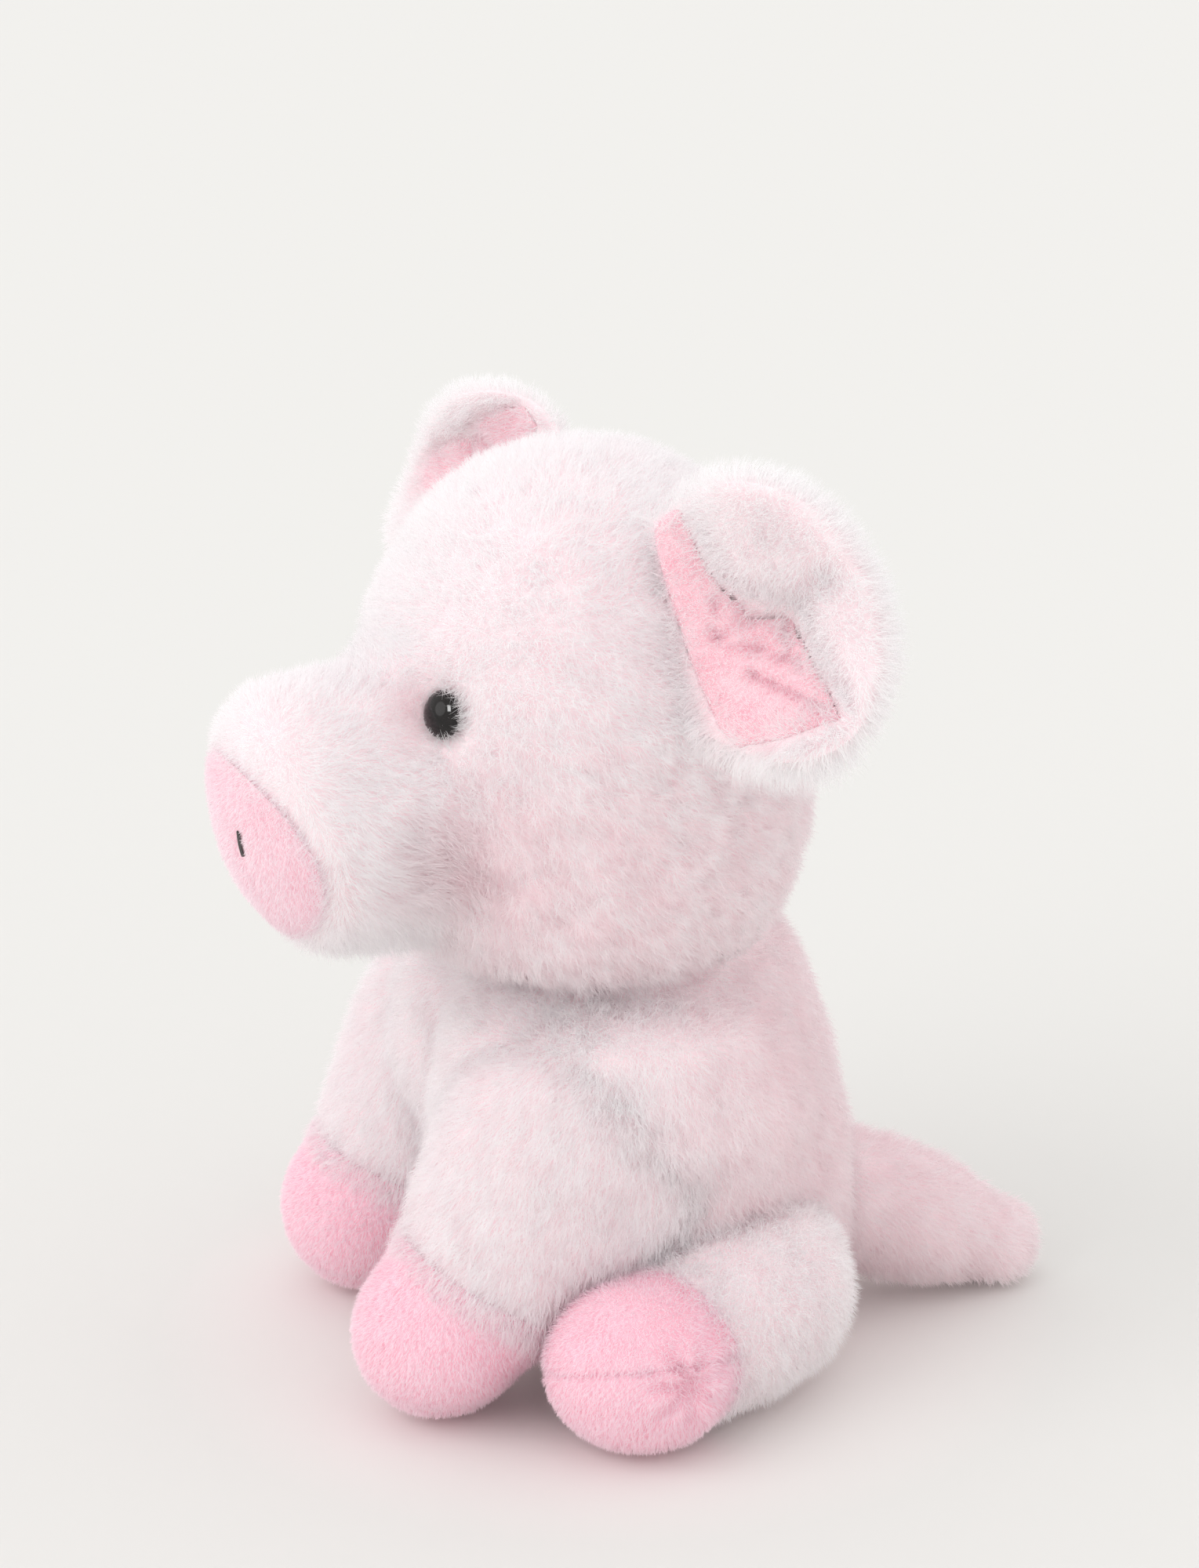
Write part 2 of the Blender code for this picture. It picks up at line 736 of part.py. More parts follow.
def build_head(fur, pink, fibre, thread, eye_plastic, washer_plastic):
    turn = turn_about(Vector((0.0, -neck_forward, 0.0)), up, head_turn_deg)
    pivot = Vector((0.0, -neck_forward, neck_height))
    slant = math.radians(pad_seam_slant_deg)
    snout_way = Vector((0.0, -math.cos(slant), -math.sin(slant)))
    snout_seam = head_centre - backward * (muzzle_reach - pad_seam_depth) - up * snout_drop
    left_base = (ear_base_out_left, ear_base_up_left, ear_base_back_left)
    right_base = (ear_base_out_right, ear_base_up_right, ear_base_back_right)
    left_fold = (ear_length_left, ear_cup_left, ear_tip_curl_left, ear_droop_left)
    right_fold = (ear_length_right, ear_cup_right, ear_tip_curl_right, ear_droop_right)
    ears = {
        "left": ear_frame(left_base, ear_sweep_left_deg, left_fold),
        "right": ear_frame(right_base, ear_sweep_right_deg, right_fold),
    }
    linings = {
        "left": (ear_lining_reach_left, ear_lining_taper_left_share),
        "right": (ear_lining_reach_right, ear_lining_taper_right_share),
    }
    mirror = Matrix.Scale(-1.0, 4, outward)

    whole = head_form("head_fur", 0.0, head_sides, head_rows)
    pieces = []
    stitch_slots = []
    for side, place in (("left", nostril_spread), ("right", -nostril_spread)):
        pieces.append((nostril_bar("stitch", whole, place, 0.0), "nostril_" + side, thread))
        stitch_slots.append(nostril_bar("slot", whole, place, gap))
    cut(whole, head_form("head_hollow", skin, limb_sides, head_rows - 4))
    keep_beyond(whole, up * (neck_height + gap), up)
    pad = copy_of(whole, "nose_pad")
    keep_beyond(pad, snout_seam + snout_way * gap, snout_way)
    cut(pad, *stitch_slots)
    keep_beyond(whole, snout_seam, -snout_way)
    core = head_form("head_stuffing", skin + 2.0 * gap, limb_sides, head_rows - 4)
    keep_beyond(core, up * (neck_height + gap), up)

    place, look = eye_frame()
    for side in ("left", "right"):
        seat, stem, room = eye_hollows(place, look)
        eye, washer = eye_solid(place, look), eye_washer(place, look)
        grooves = [ear_groove(ears[side]) for _ in range(2)]
        if side == "right":
            for item in (seat, stem, room, eye, washer, *grooves):
                moved(item, mirror)
        cut(whole, seat, stem, grooves[0])
        cut(core, room, grooves[1])
        pieces.append((eye, "eye_" + side, eye_plastic))
        pieces.append((washer, "eye_washer_" + side, washer_plastic))
    pieces += [(whole, "head_fur", fur), (pad, "nose_pad", pink), (core, "head_stuffing", fibre)]
    for target, name, look_of in pieces:
        finish(moved(target, turn), name, look_of, pivot)

    for side, frame in ears.items():
        shape = linings[side]
        ply = cut(ear_solid("ear", frame), ear_lining("pocket", frame, shape, gap, ear_thickness))
        lining = ear_lining("lining", frame, shape, 0.0, 0.0)
        hinge = frame[0]
        if side == "right":
            moved(ply, mirror)
            moved(lining, mirror)
            hinge = mirror @ hinge
        finish(moved(ply, turn), f"ear_{side}_fur", fur, turn @ hinge)
        finish(moved(lining, turn), f"ear_{side}_lining", pink, turn @ hinge)


def build():
    for old in list(bpy.data.objects):
        bpy.data.objects.remove(old)
    fur = material("long_fur", (0.93, 0.86, 0.87), 0.95)
    pink = material("short_pink_pile", (0.95, 0.62, 0.70), 0.90)
    fibre = material("fibre_stuffing", (0.92, 0.92, 0.90), 0.95)
    pouch_cloth = material("pouch_cloth", (0.80, 0.78, 0.74), 0.85)
    thread = material("black_thread", (0.02, 0.02, 0.02), 0.60)
    eye_plastic = material("glossy_black_plastic", (0.01, 0.01, 0.01), 0.12)
    washer_plastic = material("white_plastic", (0.85, 0.85, 0.83), 0.45)
    build_torso(fur, fibre, pouch_cloth)
    build_arms(fur, pink, fibre)
    build_legs(fur, pink, fibre)
    build_tail(fur, fibre)
    build_head(fur, pink, fibre, thread, eye_plastic, washer_plastic)


build()
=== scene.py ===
import json
import math

import bmesh
import bpy
import numpy as np
from mathutils import Matrix, Vector, noise
from mathutils.bvhtree import BVHTree

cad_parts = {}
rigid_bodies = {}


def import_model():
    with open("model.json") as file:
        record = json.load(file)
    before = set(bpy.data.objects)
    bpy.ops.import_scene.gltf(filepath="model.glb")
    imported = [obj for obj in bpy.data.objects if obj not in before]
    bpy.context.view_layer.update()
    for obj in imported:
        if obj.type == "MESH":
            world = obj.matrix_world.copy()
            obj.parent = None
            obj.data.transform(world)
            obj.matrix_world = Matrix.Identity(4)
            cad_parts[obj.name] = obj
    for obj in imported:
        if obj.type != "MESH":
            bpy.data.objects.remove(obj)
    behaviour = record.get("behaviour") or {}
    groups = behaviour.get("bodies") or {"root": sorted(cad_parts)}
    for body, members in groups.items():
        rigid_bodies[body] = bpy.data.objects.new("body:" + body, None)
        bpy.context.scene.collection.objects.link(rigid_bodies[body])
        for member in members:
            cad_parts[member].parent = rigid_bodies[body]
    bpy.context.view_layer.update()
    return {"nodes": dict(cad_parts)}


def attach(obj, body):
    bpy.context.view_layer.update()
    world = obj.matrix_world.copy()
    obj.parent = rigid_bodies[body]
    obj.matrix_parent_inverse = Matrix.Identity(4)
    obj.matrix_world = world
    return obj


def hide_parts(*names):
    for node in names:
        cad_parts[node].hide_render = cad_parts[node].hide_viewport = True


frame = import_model()
print("the sewn pig's frame is in place")

# The toy sits facing -Y with its left side at +X. Lengths are metres.
up, outward, backward = Vector((0, 0, 1)), Vector((1, 0, 0)), Vector((0, 1, 0))
mirrorX = Matrix.Scale(-1, 4, outward)
leftAndRight = ((1, "left"), (-1, "right"))  # a factor for X, and the word in the names


# Plain mesh work

def lineGap(spots, a, b):
    # how far each flat spot lies from the stretch between two spots
    share = np.clip(((spots - a) @ (b - a)) / ((b - a) @ (b - a)), 0, 1)
    return np.linalg.norm(spots - a - share[:, None] * (b - a), axis=1)


def newPiece(name, mesh):
    piece = bpy.data.objects.new(name, mesh)
    bpy.context.scene.collection.objects.link(piece)
    return piece


def loftPiece(name, rings):
    build = bmesh.new()
    loops = [[build.verts.new(point) for point in ring] for ring in rings]
    for low, high in zip(loops, loops[1:]):
        for k in range(max(len(low), len(high))):
            after = k + 1
            corners = [low[k % len(low)], low[after % len(low)], high[after % len(high)], high[k % len(high)]]
            build.faces.new(list(dict.fromkeys(corners)))
    for end in (loops[0], loops[-1]):
        if len(end) > 2:
            build.faces.new(end)
    bmesh.ops.recalc_face_normals(build, faces=build.faces)
    mesh = bpy.data.meshes.new(name)
    build.to_mesh(mesh)
    build.free()
    mesh.shade_smooth()
    return newPiece(name, mesh)


def ringAt(centre, side, rise, halfSide, halfRise, count):
    turns = [2 * math.pi * k / count for k in range(count)]
    return [centre + side * (halfSide * math.cos(t)) + rise * (halfRise * math.sin(t)) for t in turns]


def curveThrough(table, place):
    last = len(table) - 2
    k = next((k for k in range(last) if place <= table[k + 1][0]), last)
    start, end = table[k], table[k + 1]
    before, after = table[max(k - 1, 0)], table[min(k + 2, len(table) - 1)]
    span = end[0] - start[0]
    t = (place - start[0]) / span
    slopeIn = (end[1] - before[1]) / (end[0] - before[0]) * span
    slopeOut = (after[1] - start[1]) / (after[0] - start[0]) * span
    return ((2 * t**3 - 3 * t**2 + 1) * start[1] + (3 * t**2 - 2 * t**3) * end[1]
            + (t**3 - 2 * t**2 + t) * slopeIn + (t**3 - t**2) * slopeOut)


def settled(piece):
    # the modifiers' result becomes the piece's own plain mesh
    graph = bpy.context.evaluated_depsgraph_get()
    mesh = bpy.data.meshes.new_from_object(piece.evaluated_get(graph))
    piece.modifiers.clear()
    piece.data = mesh
    return piece


def joined(name, pieces):
    build = bmesh.new()
    for piece in pieces:
        build.from_mesh(piece.data)
        bpy.data.objects.remove(piece)
    mesh = bpy.data.meshes.new(name)
    build.to_mesh(mesh)
    build.free()
    return newPiece(name, mesh)


def remeshed(piece, voxel, smoothing):
    remesh = piece.modifiers.new("remesh", "REMESH")
    remesh.mode = "VOXEL"
    remesh.voxel_size = voxel
    smooth = piece.modifiers.new("smooth", "SMOOTH")
    smooth.factor = 0.5
    smooth.iterations = smoothing
    settled(piece)
    piece.data.shade_smooth()
    return piece


def moved(piece, matrix):
    piece.data.transform(matrix)
    if matrix.determinant() < 0:
        piece.data.flip_normals()
    return piece


def copied(piece, name, matrix=None):
    made = newPiece(name, piece.data.copy())
    return moved(made, matrix) if matrix else made


def trimmed(piece, point, normal, closed=True):
    # keeps what lies beyond the plane
    build = bmesh.new()
    build.from_mesh(piece.data)
    geometry = build.verts[:] + build.edges[:] + build.faces[:]
    found = bmesh.ops.bisect_plane(build, geom=geometry, plane_co=point, plane_no=normal, clear_inner=True)
    if closed:
        rim = [e for e in found["geom_cut"] if isinstance(e, bmesh.types.BMEdge)]
        bmesh.ops.holes_fill(build, edges=rim, sides=0)
    build.to_mesh(piece.data)
    build.free()
    piece.data.shade_smooth()
    return piece


def points(piece):
    found = np.zeros(len(piece.data.vertices) * 3, np.float32)
    piece.data.vertices.foreach_get("co", found)
    return found.reshape(-1, 3).astype(float)


def facings(piece):
    found = np.zeros(len(piece.data.vertices) * 3, np.float32)
    piece.data.vertices.foreach_get("normal", found)
    return found.reshape(-1, 3).astype(float)


def movePoints(piece, places):
    piece.data.vertices.foreach_set("co", places.astype(np.float32).ravel())
    piece.data.update()
    return piece


def mark(piece, name, values):
    # stores a number or a vector on each point
    kind = "FLOAT" if values.ndim == 1 else "FLOAT_VECTOR"
    attribute = piece.data.attributes.get(name) or piece.data.attributes.new(name, kind, "POINT")
    attribute.data.foreach_set("value" if kind == "FLOAT" else "vector", values.astype(np.float32).ravel())
    return piece


def near(places, centre, reach):
    # 1 at the centre and fading to nothing past the reach
    return np.exp(-((np.linalg.norm(places - np.array(centre), axis=1) / reach) ** 2))


def eased(values):
    held = np.clip(values, 0.0, 1.0)
    return held * held * (3 - 2 * held)


def spunAbout(point, axis, degrees):
    spin = Matrix.Rotation(math.radians(degrees), 4, axis)
    return Matrix.Translation(point) @ spin @ Matrix.Translation(-point)


def surfaceOf(form):
    return BVHTree.FromPolygons([v.co for v in form.data.vertices], [f.vertices for f in form.data.polygons])


def alwaysInside(places, form, spins, depth):
    # true where a point stays under the form's surface by the depth, whichever way it is spun
    tree = surfaceOf(form)
    inside = np.ones(len(places), bool)
    for spin in spins:
        for k in np.nonzero(inside)[0]:
            place = spin @ Vector(places[k])
            spot, facing, _, distance = tree.find_nearest(place)
            inside[k] = distance > depth and (place - spot).dot(facing) < 0
    return inside


def relaxed(piece, weights, times):
    # evens out the points by their neighbours, as much as each weight says
    edges = np.array([e.vertices for e in piece.data.edges])
    places = points(piece)
    count = np.bincount(edges.ravel(), minlength=len(places))[:, None]
    for _ in range(times):
        total = np.zeros_like(places)
        np.add.at(total, edges[:, 0], places[edges[:, 1]])
        np.add.at(total, edges[:, 1], places[edges[:, 0]])
        places += (total / count - places) * weights[:, None] * 0.6
    return movePoints(piece, places)


def edgeDistance(spots, corners):
    # how far each flat spot lies outside the closed outline (below zero inside) and the nearest spot on it
    nearest = np.full(len(spots), 1e9)
    landing = spots.copy()
    inside = np.zeros(len(spots), bool)
    for a, b in zip(corners, corners[1:] + corners[:1]):
        a, b = np.array(a), np.array(b)
        share = np.clip(((spots - a) @ (b - a)) / ((b - a) @ (b - a)), 0, 1)
        there = a + share[:, None] * (b - a)
        gap = np.linalg.norm(spots - there, axis=1)
        landing[gap < nearest] = there[gap < nearest]
        nearest = np.minimum(nearest, gap)
        crosses = (a[1] > spots[:, 1]) != (b[1] > spots[:, 1])
        at = a[0] + (spots[:, 1] - a[1]) / (b[1] - a[1] if b[1] != a[1] else 1e-9) * (b[0] - a[0])
        inside ^= crosses & (spots[:, 0] < at)
    return np.where(inside, -nearest, nearest), landing


# Sums between sockets, for materials and for geometry trees

class Wire:
    def __init__(self, graph, socket):
        self.graph, self.socket = graph, socket

    def isVector(self):
        return self.socket.type in ("VECTOR", "RGBA", "ROTATION")

    def sum(self, operation, *others, swap=False):
        terms = [self, *others]
        if swap:
            terms.reverse()
        wide = [isinstance(t, (tuple, Vector)) or isinstance(t, Wire) and t.isVector() for t in terms]
        if operation == "MULTIPLY" and any(wide) and not all(wide):
            body, number = terms if wide[0] else reversed(terms)
            sizes = {0: body, "Scale": number}
            return self.graph.node("ShaderNodeVectorMath", {"operation": "SCALE"}, sizes)[0]
        kind = "ShaderNodeVectorMath" if any(wide) else "ShaderNodeMath"
        made = self.graph.node(kind, {"operation": operation}, dict(enumerate(terms)))
        return made["Value"] if operation in ("DOT_PRODUCT", "LENGTH") else made[0]

    def __add__(self, other):
        return self.sum("ADD", other)

    def __radd__(self, other):
        return self.sum("ADD", other)

    def __sub__(self, other):
        return self.sum("SUBTRACT", other)

    def __rsub__(self, other):
        return self.sum("SUBTRACT", other, swap=True)

    def __mul__(self, other):
        return self.sum("MULTIPLY", other)

    def __rmul__(self, other):
        return self.sum("MULTIPLY", other)

    def __truediv__(self, other):
        return self.sum("DIVIDE", other)

    def __rtruediv__(self, other):
        return self.sum("DIVIDE", other, swap=True)

    def dot(self, other):
        return self.sum("DOT_PRODUCT", other)

    def length(self):
        return self.sum("LENGTH")

    def unit(self):
        return self.sum("NORMALIZE")


class Made:
    def __init__(self, graph, node):
        self.graph, self.raw = graph, node

    def __getitem__(self, key):
        if isinstance(key, int):
            return Wire(self.graph, [s for s in self.raw.outputs if s.enabled][key])
        return Wire(self.graph, next(s for s in self.raw.outputs if s.enabled and s.name == key))


class Graph:
    def __init__(self, tree):
        self.tree = tree
        tree.nodes.clear()

    def node(self, kind, settings=None, values=None):
        made = self.tree.nodes.new(kind)
        for key, value in (settings or {}).items():
            if key == "stops":
                stops = made.color_ramp.elements
                while len(stops) < len(value):
                    stops.new(1.0)
                for stop, (place, colour) in zip(stops, value):
                    stop.position, stop.color = place, (*colour, 1.0)
            else:
                setattr(made, key, value)
        usable = [s for s in made.inputs if s.enabled]
        for key, value in (values or {}).items():
            socket = usable[key] if isinstance(key, int) else next(s for s in usable if s.name == key)
            if isinstance(value, Wire):
                self.tree.links.new(value.socket, socket)
            elif isinstance(value, tuple) and socket.type == "RGBA" and len(value) == 3:
                socket.default_value = (*value, 1.0)
            else:
                socket.default_value = value
        return Made(self, made)


# Materials

def newMaterial(name, shown):
    material = bpy.data.materials.new(name)
    material.use_nodes = True
    material.diffuse_color = (*shown, 1.0)
    return material, Graph(material.node_tree)


def finishMaterial(graph, finish):
    shader = graph.node("ShaderNodeBsdfPrincipled", {}, finish)
    graph.node("ShaderNodeOutputMaterial", {}, {"Surface": shader["BSDF"]})


def ownNoise(graph, settings):
    # noise that stays with the piece's own shape
    place = graph.node("ShaderNodeTexCoord")["Object"]
    return graph.node("ShaderNodeTexNoise", {}, {"Vector": place, **settings})[0]


def ramped(graph, stops, share):
    return graph.node("ShaderNodeValToRGB", {"stops": stops}, {"Fac": share})["Color"]


def bumped(graph, strength, depth, height):
    settings = {"Strength": strength, "Distance": depth, "Height": height}
    return graph.node("ShaderNodeBump", {}, settings)["Normal"]


def pileMaterial(name, look):
    # a strand's colour runs from its root to its tip, and each kind of strand is a step pinker than the last
    material, graph = newMaterial(name, look["tip"])
    strand = graph.node("ShaderNodeUVMap", {"uv_map": "OFBake"})
    parts = graph.node("ShaderNodeSeparateXYZ", {}, {0: strand["UV"]})
    stops = [(0.0, look["root"]), (look["middleAt"], look["middle"]), (1.0, look["tip"])]
    pale = ramped(graph, stops, parts["Y"])
    deep = graph.node("ShaderNodeMix", {"data_type": "RGBA", "blend_type": "MIX"}, {
        "Factor": parts["X"] * look["deepShare"], "A": pale, "B": look["deep"]})
    pelt = graph.node("ShaderNodeBsdfPrincipled", {}, {
        "Base Color": deep["Result"], "Roughness": look["roughness"], "Specular IOR Level": look["specular"]})
    through = graph.node("ShaderNodeBsdfTranslucent", {}, {"Color": deep["Result"]})
    mix = graph.node("ShaderNodeMixShader", {}, {0: look["through"], 1: pelt["BSDF"], 2: through["BSDF"]})
    graph.node("ShaderNodeOutputMaterial", {}, {"Surface": mix[0]})
    return material


def backingMaterial(name, dark, light):
    # the cloth under the pile: mottled, with a fine nap
    material, graph = newMaterial(name, light)
    mottle = ownNoise(graph, clothLook["mottle"])
    nap = ownNoise(graph, clothLook["nap"])
    finishMaterial(graph, {
        "Base Color": ramped(graph, [(0.32, dark), (0.62, light)], mottle * 0.8 + nap * 0.2),
        "Normal": bumped(graph, *clothLook["bump"], mottle + nap * 0.6), **clothLook["finish"]})
    return material


def grainMaterial(name, look):
    # one noise varies the colour, and the gloss or the height too where the look says so
    material, graph = newMaterial(name, look["shown"])
    grain = ownNoise(graph, look["noise"])
    finish = {"Base Color": ramped(graph, look["stops"], grain), **look["finish"]}
    if "roughness" in look:
        least, more = look["roughness"]
        finish["Roughness"] = least + grain * more
    if "bump" in look:
        finish["Normal"] = bumped(graph, *look["bump"], grain)
    finishMaterial(graph, finish)
    return material


def pouchMaterial(look):
    material, graph = newMaterial("pouchCloth", look["shown"])
    place = graph.node("ShaderNodeTexCoord")["Object"]
    warp, weft = (graph.node("ShaderNodeTexWave", {"bands_direction": axis}, {
        "Vector": place, "Scale": look["threads"], "Distortion": 0.6})[1] for axis in ("X", "Y"))
    weave = warp * 0.5 + weft * 0.5
    finishMaterial(graph, {
        "Base Color": ramped(graph, look["stops"], weave), "Roughness": 0.85,
        "Normal": bumped(graph, *look["bump"], weave)})
    return material


strandKinds = 8
furLook = {
    "root": (0.990, 0.946, 0.958), "middle": (0.988, 0.990, 0.993), "middleAt": 0.28,
    "tip": (0.988, 0.995, 1.0), "deep": (1.0, 0.84, 0.87), "deepShare": 0.60,
    "roughness": 0.8, "specular": 0.2, "through": 0.68,
}
pinkLook = {
    "root": (1.0, 0.77, 0.84), "middle": (1.0, 0.90, 0.945), "middleAt": 0.42,
    "tip": (1.0, 0.95, 0.98), "deep": (1.0, 0.70, 0.79), "deepShare": 0.40,
    "roughness": 0.75, "specular": 0.2, "through": 0.60,
}
noseLook = {**pinkLook, "root": (1.0, 0.85, 0.90), "middle": (1.0, 0.94, 0.97), "tip": (1.0, 0.97, 0.99)}
liningLook = {**pinkLook, "root": (1.0, 0.86, 0.90), "middle": (1.0, 0.95, 0.97), "tip": (1.0, 0.98, 0.99)}
clothLook = {
    "mottle": {"Scale": 160.0, "Detail": 4.0, "Roughness": 0.65}, "nap": {"Scale": 1400.0, "Detail": 2.0},
    "bump": (0.6, 0.0006), "finish": {"Roughness": 0.92, "Sheen Weight": 0.3, "Specular IOR Level": 0.2},
}
fibreLook = {
    "shown": (0.92, 0.92, 0.90), "noise": {"Scale": 420.0, "Detail": 6.0, "Distortion": 1.6},
    "stops": [(0.35, (0.80, 0.80, 0.78)), (0.65, (0.95, 0.95, 0.94))], "bump": (0.8, 0.001),
    "finish": {"Roughness": 0.95},
}
pouchLook = {
    "shown": (0.80, 0.78, 0.74), "threads": 420.0, "bump": (0.5, 0.0003),
    "stops": [(0.2, (0.66, 0.64, 0.60)), (0.8, (0.84, 0.82, 0.78))],
}
washerLook = {
    "shown": (0.85, 0.85, 0.83), "noise": {"Scale": 600.0, "Detail": 3.0}, "roughness": (0.35, 0.2),
    "stops": [(0.3, (0.80, 0.80, 0.78)), (0.7, (0.88, 0.88, 0.86))], "finish": {},
}
eyeLook = {
    "shown": (0.01, 0.01, 0.01), "noise": {"Scale": 900.0, "Detail": 3.0}, "roughness": (0.09, 0.06),
    "stops": [(0.3, (0.006, 0.005, 0.005)), (0.8, (0.016, 0.013, 0.013))],
    "finish": {"Specular IOR Level": 0.22, "Coat Weight": 0.25, "Coat Roughness": 0.05},
}
threadLook = {
    "shown": (0.02, 0.015, 0.015), "noise": {"Scale": 3000.0, "Detail": 2.0},
    "stops": [(0.3, (0.010, 0.008, 0.008)), (0.8, (0.050, 0.036, 0.036))],
    "finish": {"Roughness": 0.5, "Sheen Weight": 0.2},
}
longFur = pileMaterial("longFur", furLook)
pinkPile = pileMaterial("pinkPile", pinkLook)
nosePile = pileMaterial("nosePile", noseLook)
liningPile = pileMaterial("liningPile", liningLook)
furBacking = backingMaterial("furBacking", (0.99, 0.79, 0.83), (0.995, 0.88, 0.905))
pinkBacking = backingMaterial("pinkBacking", (0.97, 0.55, 0.65), (0.98, 0.68, 0.765))
noseBacking = backingMaterial("noseBacking", (0.97, 0.62, 0.70), (0.98, 0.74, 0.80))
liningBacking = backingMaterial("liningBacking", (0.97, 0.55, 0.63), (0.98, 0.71, 0.76))
eyeGloss = grainMaterial("domedEye", eyeLook)
noseThread = grainMaterial("blackThread", threadLook)
looseFibre = grainMaterial("looseFibre", fibreLook)
washerPlastic = grainMaterial("washerPlastic", washerLook)
pouchCloth = pouchMaterial(pouchLook)
print("materials are mixed")


# Geometry trees

def newTree(name, inputs, result):
    # an empty tree with named inputs, its graph and the node that gives them
    tree = bpy.data.node_groups.new(name, "GeometryNodeTree")
    for title, kind in inputs.items():
        tree.interface.new_socket(title, in_out="INPUT", socket_type=f"NodeSocket{kind}")
    tree.interface.new_socket(result, in_out="OUTPUT", socket_type="NodeSocketGeometry")
    graph = Graph(tree)
    return tree, graph, graph.node("NodeGroupInput")


def finishTree(graph, geometry, material, result):
    real = graph.node("GeometryNodeRealizeInstances", {}, {"Geometry": geometry})
    clad = graph.node("GeometryNodeSetMaterial", {}, {"Geometry": real[0], "Material": material})
    graph.node("NodeGroupOutput", {}, {result: clad[0]})


def treeModifier(piece, tree, values):
    modifier = piece.modifiers.new(tree.name, "NODES")
    modifier.node_group = tree
    for item in tree.interface.items_tree:
        if item.in_out == "INPUT" and item.name in values:
            modifier[item.identifier] = values[item.name]
    return settled(piece)


# Pile: strands set on a skin by a geometry tree

def strandShapes():
    # a few bent, tapering blades, one unit long and one unit wide
    shelf = bpy.data.collections.new("strandShapes")
    for k in range(strandKinds):
        bend = 0.40 + 0.07 * ((k * 3) % strandKinds)
        lean = 0.25 * math.sin(2.4 * k)
        mesh = bpy.data.meshes.new("strand")
        tipRise = math.sqrt(1 - bend * bend * 0.75)
        corners = [(0, -0.5, 0), (0, 0.5, 0), (bend * 0.24, lean - 0.5, 0.52),
                   (bend * 0.24, lean + 0.5, 0.52), (bend, 0, tipRise)]
        mesh.from_pydata(corners, [], [(0, 1, 3, 2), (2, 3, 4)])
        layer = mesh.uv_layers.new(name="OFBake")
        left, right = (k + 0.1) / strandKinds, (k + 0.9) / strandKinds
        spots = ((left, 0.02), (right, 0.02), (left, 0.55), (right, 0.55), ((left + right) / 2, 0.98))
        for corner in mesh.loops:
            layer.data[corner.index].uv = spots[corner.vertex_index]
        mesh.shade_smooth()
        shelf.objects.link(bpy.data.objects.new(f"strand{k}", mesh))
    return shelf


